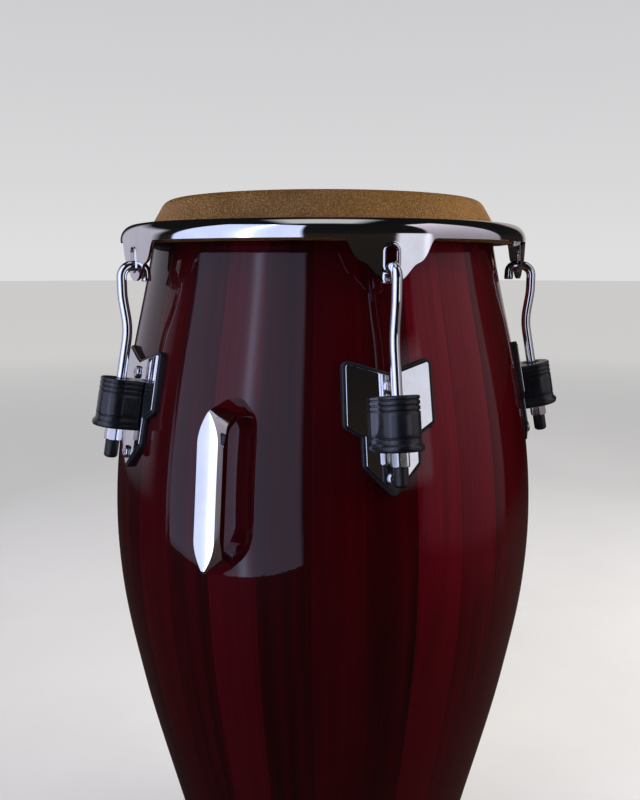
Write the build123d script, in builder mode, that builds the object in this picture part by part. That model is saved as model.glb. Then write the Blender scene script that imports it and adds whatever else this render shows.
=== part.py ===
from build123d import *
import math
import os

# Conga drum, mm. +Z up, origin at the centre of the base on the floor.
# The fixed handle faces -Y. An azimuth is counted from -Y towards +X:
# a point at azimuth a and radius r is (r sin a, -r cos a).

os.makedirs("parts", exist_ok=True)

# ---------------------------------------------------------------- dimensions
HEIGHT = 711.0            # floor to playing surface, 28 in
STAVES = 30               # glued staves round the shell
GLUE_LINE = 0.06          # degrees left between two staves
WALL = 14.0               # stave thickness
SHELL_FOOT = 4.0          # the staves stand this high, on the rubber foot
LUGS = 5
LUG_FIRST = 36.0          # azimuth of the first lug, so the handle is midway
ROD_R = 4.0               # M8 hook rod
PITCH = 1.25              # M8 thread
RIM_R = 181.0             # outside of the rim's wall
RIM_T = 2.5               # rim sheet
RIM_TOP = 689.2
RIM_BOTTOM = 674.6
RIM_BEND = 13.0           # outer radius of the rounded crown
RIM_IN = 156.4            # inner edge of the rim's flange
HOOP_R, HOOP_Z, HOOP_T = 165.4, 679.75, 4.6   # flesh hoop ring
SKIN = 2.0                # skin thickness
TUCK = 6.9                # outer radius of the skin wrapped round the hoop
TILT = 10.9               # lean of the plates and rods, degrees
AXIS_R, AXIS_Z = 196.0, 564.0   # a point on the straight run of the rod
FACE = -13.5              # plate's outer face, measured from the rod axis
PLATE_T = 2.0
HANDLE_Z, HANDLE_R, HANDLE_TILT = 496.8, 189.7, 7.75
ARM = 57.0                # handle screws above and below its middle

tilt = math.radians(TILT)

# outside of the staves, (radius, height)
OUTER = [
    (116.4, SHELL_FOOT), (121.6, 30), (127.8, 60), (136.6, 100), (146.0, 140),
    (155.7, 180), (165.3, 220), (174.3, 260), (182.0, 300), (187.3, 330),
    (190.9, 355), (193.7, 385), (195.05, 420), (194.4, 449), (191.0, 489),
    (184.9, 529), (176.9, 569), (167.8, 609), (158.6, 649), (150.3, 691.4),
]
BEARING = (134.3, 699.0)  # centre of the rounded bearing edge
BEARING_R = 9.9
SLANT = math.radians(59.6)  # slope of the skin past the bearing edge


def inside(points, thickness):
    """The same line moved in by a wall thickness, square to the line."""
    out = []
    for i, (r, z) in enumerate(points):
        r0, z0 = points[max(i - 1, 0)]
        r1, z1 = points[min(i + 1, len(points) - 1)]
        n = math.hypot(r1 - r0, z1 - z0)
        out.append((r - thickness * (z1 - z0) / n, z + thickness * (r1 - r0) / n))
    return out


# the inside of the wall meets the floor end and the neck square
INNER = [(p[0] if p[0] > 101 else 101.9, p[1]) for p in inside(OUTER, WALL)]
INNER[0] = (102.3, SHELL_FOOT)
INNER[-1] = (134.9, 699.0)


def radial(azimuth):
    """A plane through Z whose local x is the radius at an azimuth, y is up."""
    a = math.radians(azimuth - 90)
    return Plane(
        origin=(0, 0, 0),
        x_dir=(math.cos(a), math.sin(a), 0),
        z_dir=(math.sin(a), -math.cos(a), 0),
    )


def turned(azimuth):
    """Places a form built on the +X side at an azimuth."""
    return Location((0, 0, 0), (0, 0, azimuth - 90))


LUG_AT = [LUG_FIRST + n * 360 / LUGS for n in range(LUGS)]
ROD = Plane(
    origin=(AXIS_R, 0, AXIS_Z),
    x_dir=(math.cos(tilt), 0, math.sin(tilt)),
    z_dir=(-math.sin(tilt), 0, math.cos(tilt)),
)  # z up the rod, x outwards
FRONT = Plane(
    origin=(AXIS_R, 0, AXIS_Z),
    x_dir=(0, 1, 0),
    z_dir=(math.cos(tilt), 0, math.sin(tilt)),
)  # looks at the plate: x is sideways, y is up the plate
htilt = math.radians(HANDLE_TILT)
GRIP = Plane(
    origin=(HANDLE_R, 0, HANDLE_Z),
    x_dir=(math.cos(htilt), 0, math.sin(htilt)),
    z_dir=(0, -1, 0),
)  # side view of the handle: x outwards, y up along the shell
GRIP_FRONT = Plane(
    origin=(HANDLE_R, 0, HANDLE_Z),
    x_dir=(0, 1, 0),
    z_dir=(math.cos(htilt), 0, math.sin(htilt)),
)

# ------------------------------------------------------------------ body of the shell, used as a cutting tool
with BuildPart() as shell_core:
    with BuildSketch(Plane.XZ):
        with BuildLine():
            foot = Line((0, 0), (OUTER[0][0] + 0.06, 0))
            rise = Line(foot @ 1, (OUTER[0][0] + 0.06, SHELL_FOOT))
            side = Spline([(r + 0.06, z) for r, z in OUTER])
            Polyline(side @ 1, (0, 691.4), (0, 0))
        make_face()
    revolve(axis=Axis.Z)

# ---------------------------------------------------------------- plate forms, all on the +X side
# sideways and up-the-plate coordinates, one half
PLATE_HALF = [
    (0, 16.0), (32.0, 26.2), (33.0, -18.6), (20.0, -26.7), (20.0, -48.1), (0, -69.5),
]
PLATE = PLATE_HALF + [(-u, w) for u, w in PLATE_HALF[-2:0:-1]]
SCREW_UP, SCREW_LOW = 7.9, -58.3
WING_AT, WING_DROP = 9.0, 0.0937


def band(outer, thickness):
    """Corners of the plate's cross-section: flat middle, wings bent back."""
    e = 42.0
    fall = (e - WING_AT) * WING_DROP
    return [
        (outer, -WING_AT), (outer, WING_AT), (outer - fall, e),
        (outer - fall - thickness, e), (outer - thickness, WING_AT),
        (outer - thickness, -WING_AT), (outer - fall - thickness, -e),
        (outer - fall, -e),
    ]


def screw_spots():
    return [(0, SCREW_UP), (0, SCREW_LOW)]


with BuildPart() as plate_form:
    with BuildSketch(ROD.offset(-80)):
        with BuildLine():
            Polyline(*band(FACE, PLATE_T), close=True)
        make_face()
    extrude(amount=120)
    with BuildSketch(FRONT.offset(-40)) as outline:
        with BuildLine():
            Polyline(*PLATE, close=True)
        make_face()
        fillet(outline.vertices(), radius=2.0)
    extrude(amount=40, mode=Mode.INTERSECT)
    with BuildSketch(FRONT.offset(-40)):
        with Locations(*screw_spots()):
            Circle(3.1)
    extrude(amount=40, mode=Mode.SUBTRACT)

# the room the plate takes in its gasket
with BuildPart() as plate_room:
    with BuildSketch(ROD.offset(-80)):
        with BuildLine():
            Polyline(*band(FACE + 4.0, PLATE_T + 4.06), close=True)
        make_face()
    extrude(amount=120)
    with BuildSketch(FRONT.offset(-40)) as room_outline:
        with BuildLine():
            Polyline(*PLATE, close=True)
        make_face()
        fillet(room_outline.vertices(), radius=2.0)
        offset(amount=0.1)
    extrude(amount=44, mode=Mode.INTERSECT)

with BuildPart() as gasket_form:
    with BuildSketch(ROD.offset(-84)):
        with BuildLine():
            Polyline(*band(FACE - 0.7, 9.0), close=True)
        make_face()
    extrude(amount=128)
    with BuildSketch(FRONT.offset(-40)) as wide_outline:
        with BuildLine():
            Polyline(*PLATE, close=True)
        make_face()
        fillet(wide_outline.vertices(), radius=2.0)
        offset(amount=2.6)
    extrude(amount=40, mode=Mode.INTERSECT)
    add(plate_room.part, mode=Mode.SUBTRACT)
    add(shell_core.part, mode=Mode.SUBTRACT)
    with BuildSketch(FRONT.offset(-40)):
        with Locations(*screw_spots()):
            Circle(3.1)
    extrude(amount=40, mode=Mode.SUBTRACT)

# eye bracket: a tube round the rod on a web welded to the plate
EYE_TOP, EYE_LOW = -2.1, -34.3
with BuildPart() as bracket_form:
    with BuildSketch(ROD.offset(EYE_LOW)):
        Circle(9.5)
        with Locations((FACE / 2 + 0.02, 0)):
            Rectangle(-FACE - 0.04, 9.0)
        Circle(4.6, mode=Mode.SUBTRACT)
    extrude(amount=EYE_TOP - EYE_LOW)

# collar: black sleeve over the bracket, round in front, straight sides
COLLAR_TOP, COLLAR_LOW = 1.5, -36.0


def collar_section(radius, half):
    """A sleeve's section: round front, straight sides back to the plate."""
    with BuildSketch(Plane.XY) as section:
        with BuildLine():
            Polyline((0, -half), (FACE + 0.08, -half), (FACE + 0.08, half), (0, half))
            ThreePointArc((0, half), (radius, 0), (0, -half))
        make_face()
    return section.sketch


SLEEVE, FLARE = collar_section(16.0, 16.0), collar_section(18.2, 18.0)
CUT_OUT, CUT_IN = collar_section(17.5, 17.5), collar_section(15.1, 15.1)


with BuildPart() as collar_form:
    with BuildSketch(ROD.offset(-32.0)):
        add(SLEEVE)
    extrude(amount=COLLAR_TOP + 32.0)
    with BuildSketch(ROD.offset(-32.0)):
        add(SLEEVE)
    with BuildSketch(ROD.offset(-34.6)):
        add(FLARE)
    loft()
    with BuildSketch(ROD.offset(COLLAR_LOW)):
        add(FLARE)
    extrude(amount=-COLLAR_LOW - 34.6)
    # grooves round the sleeve
    for low in (-1.2, -5.0, -8.8, -28.0):
        with BuildSketch(ROD.offset(low - 1.1)):
            add(CUT_OUT)
            add(CUT_IN, mode=Mode.SUBTRACT)
        extrude(amount=1.1, mode=Mode.SUBTRACT)
    # room for the bracket and the rod
    with BuildSketch(ROD.offset(EYE_LOW - 0.1)):
        Circle(9.6)
        with Locations((FACE / 2, 0)):
            Rectangle(-FACE + 0.4, 9.2)
    extrude(amount=EYE_TOP - EYE_LOW + 0.2, mode=Mode.SUBTRACT)
    with BuildSketch(ROD.offset(COLLAR_LOW - 1)):
        Circle(5.0)
    extrude(amount=COLLAR_TOP - COLLAR_LOW + 2, mode=Mode.SUBTRACT)

with BuildPart() as lug_washer_form:
    with BuildSketch(ROD.offset(-37.65)):
        Circle(8.5)
        Circle(4.6, mode=Mode.SUBTRACT)
    extrude(amount=1.6)

# long hex nut, 13 mm across flats
NUT_TOP, NUT_LOW = -37.95, -48.9
with BuildPart() as nut_form:
    with BuildSketch(ROD.offset(NUT_LOW)):
        RegularPolygon(radius=6.5, side_count=6, major_radius=False)
    extrude(amount=NUT_TOP - NUT_LOW)
    with BuildSketch(ROD.offset(NUT_LOW - 1)):
        Circle(7.36)
    extrude(amount=NUT_TOP - NUT_LOW + 2, mode=Mode.INTERSECT)
    chamfer(nut_form.edges().filter_by(GeomType.CIRCLE), length=0.2)
    with BuildSketch(ROD.offset(NUT_LOW - 1)):
        Circle(ROD_R + 0.05)
    extrude(amount=NUT_TOP - NUT_LOW + 2, mode=Mode.SUBTRACT)

# hook rod: short end behind the ear, over the slot's edge, down through the lug
ROD_END = -61.1
end = (AXIS_R + math.sin(tilt) * -ROD_END, AXIS_Z + math.cos(tilt) * ROD_END)
knee = (AXIS_R - 0.1926 * 41, AXIS_Z + 41)
HOOK = [(171.3, 642.6), (171.6, 655.2), (191.6, 654.8), (191.6, 631.0), knee, end]
with BuildPart() as hook_form:
    with BuildLine(Plane.XZ):
        hook_path = FilletPolyline(*HOOK, radius=[5.5, 9.3, 60.0, 60.0])
    with BuildSketch(Plane(origin=hook_path @ 0, z_dir=hook_path % 0)):
        Circle(ROD_R)
    sweep()

CAP_TOP, CAP_LOW = -49.2, -63.7
with BuildPart() as cap_form:
    with BuildSketch(ROD.offset(CAP_LOW)):
        Circle(5.5)
    extrude(amount=CAP_TOP - CAP_LOW)
    fillet(cap_form.faces().sort_by(Axis.Z)[0].edges(), radius=2.6)
    with BuildSketch(ROD.offset(ROD_END - 0.2)):
        Circle(ROD_R + 0.05)
    extrude(amount=CAP_TOP - ROD_END + 2, mode=Mode.SUBTRACT)

# screw that holds the plate, with its washer and nut inside the shell
HEAD_R, HEAD_H, SHANK = 5.4, 3.0, 27.0
INSIDE_FACE = {SCREW_UP: -32.35, SCREW_LOW: -32.35}


def wall_depth(w):
    """Where the inside of the wall is, along a screw at height w on the plate."""
    best = None
    for k in range(0, 4000):
        x = -15.0 - k * 0.01
        r = AXIS_R + x * math.cos(tilt) - w * math.sin(tilt)
        z = AXIS_Z + x * math.sin(tilt) + w * math.cos(tilt)
        for (r0, z0), (r1, z1) in zip(INNER, INNER[1:]):
            if z0 <= z <= z1:
                if r < r0 + (r1 - r0) * (z - z0) / (z1 - z0):
                    return x
    return best


with BuildPart() as screw_form:
    for w in (SCREW_UP, SCREW_LOW):
        seat = FRONT.offset(FACE + 0.05)
        with BuildSketch(seat):
            with Locations((0, w)):
                Circle(HEAD_R)
        extrude(amount=HEAD_H)
        with BuildSketch(seat):
            with Locations((0, w)):
                Circle(2.9)
        extrude(amount=-SHANK)
    fillet(
        screw_form.faces().sort_by(Axis(FRONT.origin, FRONT.z_dir))[-2:].edges(),
        radius=1.6,
    )
    for w in (SCREW_UP, SCREW_LOW):
        with BuildSketch(FRONT.offset(FACE + HEAD_H + 0.1)):
            with Locations((0, w)):
                Rectangle(5.4, 1.1)
                Rectangle(1.1, 5.4)
        extrude(amount=-1.8, mode=Mode.SUBTRACT)

with BuildPart() as inner_washer_form:
    for w in (SCREW_UP, SCREW_LOW):
        with BuildSketch(FRONT.offset(wall_depth(w) - 0.75)):
            with Locations((0, w)):
                Circle(8.0)
                Circle(3.0, mode=Mode.SUBTRACT)
        extrude(amount=-1.5)

with BuildPart() as inner_nut_form:
    for w in (SCREW_UP, SCREW_LOW):
        with BuildSketch(FRONT.offset(wall_depth(w) - 2.3)):
            with Locations((0, w)):
                RegularPolygon(radius=5.0, side_count=6, major_radius=False)
                Circle(2.95, mode=Mode.SUBTRACT)
        extrude(amount=-5.0)

# ---------------------------------------------------------------- shell
with BuildPart() as shell_staves:
    for n in range(STAVES):
        lean = n * 360 / STAVES - 180 / STAVES + GLUE_LINE / 2
        with BuildSketch(radial(lean)):
            with BuildLine():
                outer_line = Spline(OUTER)
                top = (
                    BEARING[0] + BEARING_R * math.sin(SLANT),
                    BEARING[1] + BEARING_R * math.cos(SLANT),
                )
                slant_line = Line(outer_line @ 1, top)
                crest = (134.9, BEARING[1] + math.sqrt(BEARING_R**2 - 0.6**2))
                half = math.radians(30)
                RadiusArc(top, crest, -BEARING_R)
                inner_line = Spline(INNER)
                Line(crest, inner_line @ 1)
                Line(outer_line @ 0, inner_line @ 0)
            make_face()
        revolve(axis=Axis.Z, revolution_arc=-(360 / STAVES - GLUE_LINE))
    # screw holes of the lugs and the handle
    for a in LUG_AT:
        with Locations(turned(a)):
            with Locations(
                *[FRONT.offset(-45).location * Location((0, w, 0)) for w in (SCREW_UP, SCREW_LOW)]
            ):
                Cylinder(3.1, 80, mode=Mode.SUBTRACT)
    with Locations(turned(0)):
        with Locations(
            *[GRIP_FRONT.location * Location((0, w, 0)) for w in (-ARM, ARM)]
        ):
            Cylinder(3.1, 80, mode=Mode.SUBTRACT)
shell_staves.part.label = "shell_staves"
export_step(shell_staves.part, "parts/shell_staves.step")

# ring that backs the bearing edge inside the neck
with BuildPart() as top_ring:
    with BuildSketch(Plane.XZ):
        with BuildLine():
            Polyline((134.82, 699.0), (134.82, 708.4), (131.4, 707.0), (129.2, 703.6), (129.2, 672.0), (134.0, 668.0), (138.6, 668.0))
            Line((138.6, 668.0), (134.82, 699.0))
        make_face()
    revolve(axis=Axis.Z)
    add(shell_staves.part, mode=Mode.SUBTRACT)
top_ring.part.label = "top_ring"
export_step(top_ring.part, "parts/top_ring.step")

# ring glued inside the foot of the staves
with BuildPart() as bottom_ring:
    with BuildSketch(Plane.XZ):
        with BuildLine():
            Polyline((96.0, 18.0), (103.8, 18.0), (112.0, 58.0), (104.4, 58.0), (96.0, 18.0))
        make_face()
    revolve(axis=Axis.Z)
bottom_ring.part.label = "bottom_ring"
export_step(bottom_ring.part, "parts/bottom_ring.step")

# rubber foot: a channel pushed over the lower ends of the staves
with BuildPart() as base_foot:
    with BuildSketch(Plane.XZ) as foot_section:
        with BuildLine():
            Polyline(
                (98.6, 0), (118.8, 0), (122.2, 15.0), (119.2, 15.0), (116.8, SHELL_FOOT - 0.1),
                (101.9, SHELL_FOOT - 0.1), (101.9, 13.0), (98.6, 13.0), (98.6, 0),
            )
        make_face()
        fillet(foot_section.vertices().group_by(Axis.Y)[0], radius=1.5)
    revolve(axis=Axis.Z)
base_foot.part.label = "base_foot"
export_step(base_foot.part, "parts/base_foot.step")

# ---------------------------------------------------------------- head
# playing surface: flat, then over the bearing edge
SKIN_R = BEARING_R + 0.1 + SKIN
SPLIT = math.radians(50)
with BuildPart() as head_crown:
    with BuildSketch(Plane.XZ):
        cx, cz = BEARING
        o = (cx + SKIN_R * math.sin(SPLIT), cz + SKIN_R * math.cos(SPLIT))
        i = (cx + (SKIN_R - SKIN) * math.sin(SPLIT), cz + (SKIN_R - SKIN) * math.cos(SPLIT))
        with BuildLine():
            Polyline((cx, cz + SKIN_R - SKIN), (0, cz + SKIN_R - SKIN), (0, cz + SKIN_R), (cx, cz + SKIN_R))
            RadiusArc((cx, cz + SKIN_R), o, SKIN_R)
            Line(o, i)
            RadiusArc(i, (cx, cz + SKIN_R - SKIN), -(SKIN_R - SKIN))
        make_face()
    revolve(axis=Axis.Z)
head_crown.part.label = "head_crown"
export_step(head_crown.part, "parts/head_crown.step")

# side of the skin: straight from the bearing edge to the hoop, and round it
with BuildPart() as head_side:
    with BuildSketch(Plane.XZ):
        run = (math.cos(SLANT), -math.sin(SLANT))
        out = (math.sin(SLANT), math.cos(SLANT))
        a0 = (cx + (SKIN_R - SKIN + 0.06) * out[0], cz + (SKIN_R - SKIN + 0.06) * out[1])
        length = ((HOOP_R - a0[0]) * run[0] + (HOOP_Z - a0[1]) * run[1])
        shift = 0.9
        a0 = (a0[0] + shift * run[0], a0[1] + shift * run[1])
        a1 = (a0[0] + (length - shift) * run[0], a0[1] + (length - shift) * run[1])
        with BuildLine():
            Polyline(
                a0, a1,
                (a1[0] + SKIN * out[0], a1[1] + SKIN * out[1]),
                (a0[0] + (SKIN - 0.06) * out[0], a0[1] + (SKIN - 0.06) * out[1]),
                close=True,
            )
        make_face()
        with Locations((HOOP_R, HOOP_Z)):
            Circle(TUCK)
            Circle(HOOP_T + 0.05, mode=Mode.SUBTRACT)
    revolve(axis=Axis.Z)
head_side.part.label = "head_side"
export_step(head_side.part, "parts/head_side.step")

with BuildPart() as flesh_hoop:
    with BuildSketch(Plane.XZ):
        with Locations((HOOP_R, HOOP_Z)):
            Circle(HOOP_T)
    revolve(axis=Axis.Z)
flesh_hoop.part.label = "flesh_hoop"
export_step(flesh_hoop.part, "parts/flesh_hoop.step")

# ---------------------------------------------------------------- rim
# an ear's outline, sideways and height, one half from the band to the tip
EAR_HALF = [
    (36.5, 676.0), (34.6, 674.6), (31.6, 671.2), (29.6, 667.3), (27.8, 663.3), (24.4, 659.0),
    (18.3, 655.9), (15.4, 653.0), (12.1, 649.2), (8.6, 645.6), (4.5, 643.7), (0, 643.1),
]
SLOT_LOW, SLOT_TOP, SLOT_W = 650.6, 669.8, 10.0

with BuildPart() as ear_forms:
    for a in LUG_AT:
        view = radial(a)
        face = Plane(origin=view.x_dir * 190.0, x_dir=view.z_dir * -1, z_dir=view.x_dir)
        with BuildSketch(face):
            with BuildLine():
                left = Spline([(-u, z) for u, z in EAR_HALF])
                right = Spline([(u, z) for u, z in EAR_HALF])
                Line(left @ 0, right @ 0)
            make_face()
        extrude(amount=-20)
    with BuildSketch(Plane.XY.offset(640)):
        Circle(RIM_R)
        Circle(RIM_R - RIM_T, mode=Mode.SUBTRACT)
    extrude(amount=40, mode=Mode.INTERSECT)

with BuildPart() as rim:
    with BuildSketch(Plane.XZ) as rim_section:
        b = RIM_R - RIM_BEND
        c = RIM_TOP - RIM_BEND
        with BuildLine():
            Line((RIM_IN, RIM_TOP), (b, RIM_TOP))
            RadiusArc((b, RIM_TOP), (RIM_R, c), RIM_BEND)
            Polyline((RIM_R, c), (RIM_R, RIM_BOTTOM), (RIM_R - RIM_T, RIM_BOTTOM), (RIM_R - RIM_T, c))
            RadiusArc((RIM_R - RIM_T, c), (b, RIM_TOP - RIM_T), -(RIM_BEND - RIM_T))
            Line((b, RIM_TOP - RIM_T), (RIM_IN, RIM_TOP - RIM_T))
            Line((RIM_IN, RIM_TOP - RIM_T), (RIM_IN, RIM_TOP))
        make_face()
        fillet(rim_section.vertices().group_by(Axis.X)[0], radius=1.2)
    revolve(axis=Axis.Z)
    add(ear_forms.part)
    # pressed lip round each slot, and the slot
    for a in LUG_AT:
        view = radial(a)
        face = Plane(origin=view.x_dir * 179.6, x_dir=view.z_dir * -1, z_dir=view.x_dir)
        middle = (SLOT_LOW + SLOT_TOP) / 2
        with BuildSketch(face):
            with Locations((0, middle)):
                SlotOverall(SLOT_TOP - SLOT_LOW + 3.4, SLOT_W + 3.4, rotation=90)
        extrude(amount=2.3)
    for a in LUG_AT:
        view = radial(a)
        face = Plane(origin=view.x_dir * 174.0, x_dir=view.z_dir * -1, z_dir=view.x_dir)
        with BuildSketch(face):
            with Locations((0, middle)):
                SlotOverall(SLOT_TOP - SLOT_LOW, SLOT_W, rotation=90)
        extrude(amount=20, mode=Mode.SUBTRACT)
rim.part.label = "rim"
export_step(rim.part, "parts/rim.step")

# ---------------------------------------------------------------- one set of fittings per lug
for n, a in enumerate(LUG_AT, 1):
    with BuildPart() as side_plate:
        with Locations(turned(a)):
            add(plate_form.part)
    side_plate.part.label = f"side_plate_{n}"
    export_step(side_plate.part, f"parts/side_plate_{n}.step")

    with BuildPart() as plate_gasket:
        with Locations(turned(a)):
            add(gasket_form.part)
    plate_gasket.part.label = f"plate_gasket_{n}"
    export_step(plate_gasket.part, f"parts/plate_gasket_{n}.step")

    with BuildPart() as lug_bracket:
        with Locations(turned(a)):
            add(bracket_form.part)
    lug_bracket.part.label = f"lug_bracket_{n}"
    export_step(lug_bracket.part, f"parts/lug_bracket_{n}.step")

    with BuildPart() as lug_collar:
        with Locations(turned(a)):
            add(collar_form.part)
    lug_collar.part.label = f"lug_collar_{n}"
    export_step(lug_collar.part, f"parts/lug_collar_{n}.step")

    with BuildPart() as hook_rod:
        with Locations(turned(a)):
            add(hook_form.part)
    hook_rod.part.label = f"hook_rod_{n}"
    export_step(hook_rod.part, f"parts/hook_rod_{n}.step")

    with BuildPart() as rod_cap:
        with Locations(turned(a)):
            add(cap_form.part)
    rod_cap.part.label = f"rod_cap_{n}"
    export_step(rod_cap.part, f"parts/rod_cap_{n}.step")

    with BuildPart() as tuning_nut:
        with Locations(turned(a)):
            add(nut_form.part)
    tuning_nut.part.label = f"tuning_nut_{n}"
    export_step(tuning_nut.part, f"parts/tuning_nut_{n}.step")

with BuildPart() as lug_washers:
    with Locations(*[turned(a) for a in LUG_AT]):
        add(lug_washer_form.part)
lug_washers.part.label = "lug_washers"
export_step(lug_washers.part, "parts/lug_washers.step")

with BuildPart() as plate_screws:
    with Locations(*[turned(a) for a in LUG_AT]):
        add(screw_form.part)
plate_screws.part.label = "plate_screws"
export_step(plate_screws.part, "parts/plate_screws.step")

with BuildPart() as plate_washers:
    with Locations(*[turned(a) for a in LUG_AT]):
        add(inner_washer_form.part)
plate_washers.part.label = "plate_washers"
export_step(plate_washers.part, "parts/plate_washers.step")

with BuildPart() as plate_nuts:
    with Locations(*[turned(a) for a in LUG_AT]):
        add(inner_nut_form.part)
plate_nuts.part.label = "plate_nuts"
export_step(plate_nuts.part, "parts/plate_nuts.step")

# ---------------------------------------------------------------- handle
BAR_BACK, BAR_FACE = 28.2, 39.8   # inner and outer side of the bar above the shell
GRIP_HALF = 9.8                   # half the handle's width
with BuildPart() as handle_form:
    with BuildSketch(GRIP):
        with BuildLine():
            outside_line = FilletPolyline(
                (-8, -64), (12, -64), (BAR_FACE, -57), (BAR_FACE, 57), (12, 64), (-8, 64),
                radius=[10.0, 3.5, 3.5, 10.0],
            )
            Line(outside_line @ 1, outside_line @ 0)
        make_face()
        with BuildLine():
            finger_line = FilletPolyline(
                (-9, -50), (12, -50), (BAR_BACK, -41), (BAR_BACK, 41), (12, 50), (-9, 50),
                radius=[7.0, 8.0, 8.0, 7.0],
            )
            Line(finger_line @ 1, finger_line @ 0)
        make_face(mode=Mode.SUBTRACT)
    extrude(amount=GRIP_HALF, both=True)
    # bevels along the front
    with BuildSketch(Plane(origin=GRIP.origin - GRIP.y_dir * 90, x_dir=(0, 1, 0), z_dir=GRIP.y_dir)):
        with BuildLine():
            Polyline(
                (-GRIP_HALF, 30), (-GRIP_HALF, -BAR_FACE + 3), (-GRIP_HALF + 3, -BAR_FACE),
                (GRIP_HALF - 3, -BAR_FACE), (GRIP_HALF, -BAR_FACE + 3), (GRIP_HALF, 30),
                close=True,
            )
        make_face()
    extrude(amount=180, mode=Mode.INTERSECT)
    add(shell_core.part, mode=Mode.SUBTRACT)
    for w in (-ARM, ARM):
        with BuildSketch(GRIP_FRONT.offset(-10)):
            with Locations((0, w)):
                Circle(2.95)
        extrude(amount=26, mode=Mode.SUBTRACT)
with BuildPart() as handle_bow:
    with Locations(turned(0)):
        add(handle_form.part)
handle_bow.part.label = "handle_bow"
export_step(handle_bow.part, "parts/handle_bow.step")


def grip_depth(w):
    """Where the inside of the wall is, along a handle screw at height w."""
    for k in range(0, 4000):
        x = 5.0 - k * 0.01
        r = HANDLE_R + x * math.cos(htilt) - w * math.sin(htilt)
        z = HANDLE_Z + x * math.sin(htilt) + w * math.cos(htilt)
        for (r0, z0), (r1, z1) in zip(INNER, INNER[1:]):
            if z0 <= z <= z1 and r < r0 + (r1 - r0) * (z - z0) / (z1 - z0):
                return x


with BuildPart() as grip_screw_form:
    for w in (-ARM, ARM):
        depth = grip_depth(w) - 3.2
        with BuildSketch(GRIP_FRONT.offset(depth)):
            with Locations((0, w)):
                RegularPolygon(radius=5.0, side_count=6, major_radius=False)
        extrude(amount=-4.0)
        with BuildSketch(GRIP_FRONT.offset(depth - 1.0)):
            with Locations((0, w)):
                Circle(2.9)
        extrude(amount=15.0 - depth)
with BuildPart() as handle_screws:
    with Locations(turned(0)):
        add(grip_screw_form.part)
handle_screws.part.label = "handle_screws"
export_step(handle_screws.part, "parts/handle_screws.step")

with BuildPart() as grip_washer_form:
    for w in (-ARM, ARM):
        with BuildSketch(GRIP_FRONT.offset(grip_depth(w) - 1.3)):
            with Locations((0, w)):
                Circle(9.0)
                Circle(3.0, mode=Mode.SUBTRACT)
        extrude(amount=-1.8)
with BuildPart() as handle_washers:
    with Locations(turned(0)):
        add(grip_washer_form.part)
handle_washers.part.label = "handle_washers"
export_step(handle_washers.part, "parts/handle_washers.step")
print("written", len(os.listdir("parts")))
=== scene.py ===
"""Conga drum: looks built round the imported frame. Metres, same frame as the CAD."""

import math

import bmesh
import bpy
import numpy as np
from mathutils import Matrix, Vector


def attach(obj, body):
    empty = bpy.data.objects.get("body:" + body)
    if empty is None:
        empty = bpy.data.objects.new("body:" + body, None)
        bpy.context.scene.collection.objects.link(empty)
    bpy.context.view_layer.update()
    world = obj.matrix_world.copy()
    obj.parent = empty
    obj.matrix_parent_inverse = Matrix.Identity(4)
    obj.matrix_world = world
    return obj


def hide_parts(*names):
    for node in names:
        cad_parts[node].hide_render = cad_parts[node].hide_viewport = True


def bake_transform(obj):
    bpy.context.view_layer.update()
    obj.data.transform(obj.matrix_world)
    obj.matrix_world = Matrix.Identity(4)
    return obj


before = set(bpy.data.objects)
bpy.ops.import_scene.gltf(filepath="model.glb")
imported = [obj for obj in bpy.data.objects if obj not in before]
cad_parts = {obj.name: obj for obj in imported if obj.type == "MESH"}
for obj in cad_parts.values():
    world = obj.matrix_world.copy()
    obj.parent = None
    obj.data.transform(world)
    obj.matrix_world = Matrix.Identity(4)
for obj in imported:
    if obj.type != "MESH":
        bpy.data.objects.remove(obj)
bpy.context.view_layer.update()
MM = 0.001
pi = math.pi

# ------------------------------------------------------------------ geometry of the frame (mm)
TILT = math.radians(10.9)
AXIS_R, AXIS_Z = 196.0, 564.0
FACE = -13.5
LUGS = [36 + 72 * n for n in range(5)]
OUTER = [
    (116.4, 4.0), (121.6, 30), (127.8, 60), (136.6, 100), (146.0, 140),
    (155.7, 180), (165.3, 220), (174.3, 260), (182.0, 300), (187.3, 330),
    (190.9, 355), (193.7, 385), (195.05, 420), (194.4, 449), (191.0, 489),
    (184.9, 529), (176.9, 569), (167.8, 609), (158.6, 649), (150.3, 691.4),
]
BEAR = (134.3, 699.0)
SLANT = math.radians(59.6)
RIM_R, RIM_T, RIM_TOP, RIM_BOTTOM, RIM_BEND, RIM_IN = 181.0, 2.5, 689.2, 674.6, 13.0, 156.4
HOOP_R, HOOP_Z, HOOP_T, TUCK = 165.4, 679.75, 4.6, 6.9


def natural_cubic(xs, ys):
    """A smooth curve through points: returns f(x)."""
    xs, ys = np.array(xs, float), np.array(ys, float)
    n = len(xs)
    h = np.diff(xs)
    A = np.eye(n)
    b = np.zeros(n)
    for i in range(1, n - 1):
        A[i, i - 1], A[i, i], A[i, i + 1] = h[i - 1], 2 * (h[i - 1] + h[i]), h[i]
        b[i] = 6 * ((ys[i + 1] - ys[i]) / h[i] - (ys[i] - ys[i - 1]) / h[i - 1])
    m = np.linalg.solve(A, b)

    def f(x):
        x = np.asarray(x, float)
        k = np.clip(np.searchsorted(xs, x) - 1, 0, n - 2)
        t0, t1 = xs[k + 1] - x, x - xs[k]
        return (
            m[k] * t0**3 / (6 * h[k]) + m[k + 1] * t1**3 / (6 * h[k])
            + (ys[k] / h[k] - m[k] * h[k] / 6) * t0
            + (ys[k + 1] / h[k] - m[k + 1] * h[k] / 6) * t1
        )

    return f


shell_r = natural_cubic([z for _, z in OUTER], [r for r, _ in OUTER])


def turn(azimuth):
    """Rotation about Z that carries the +X side to an azimuth."""
    return Matrix.Rotation(math.radians(azimuth - 90), 4, "Z")


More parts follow.
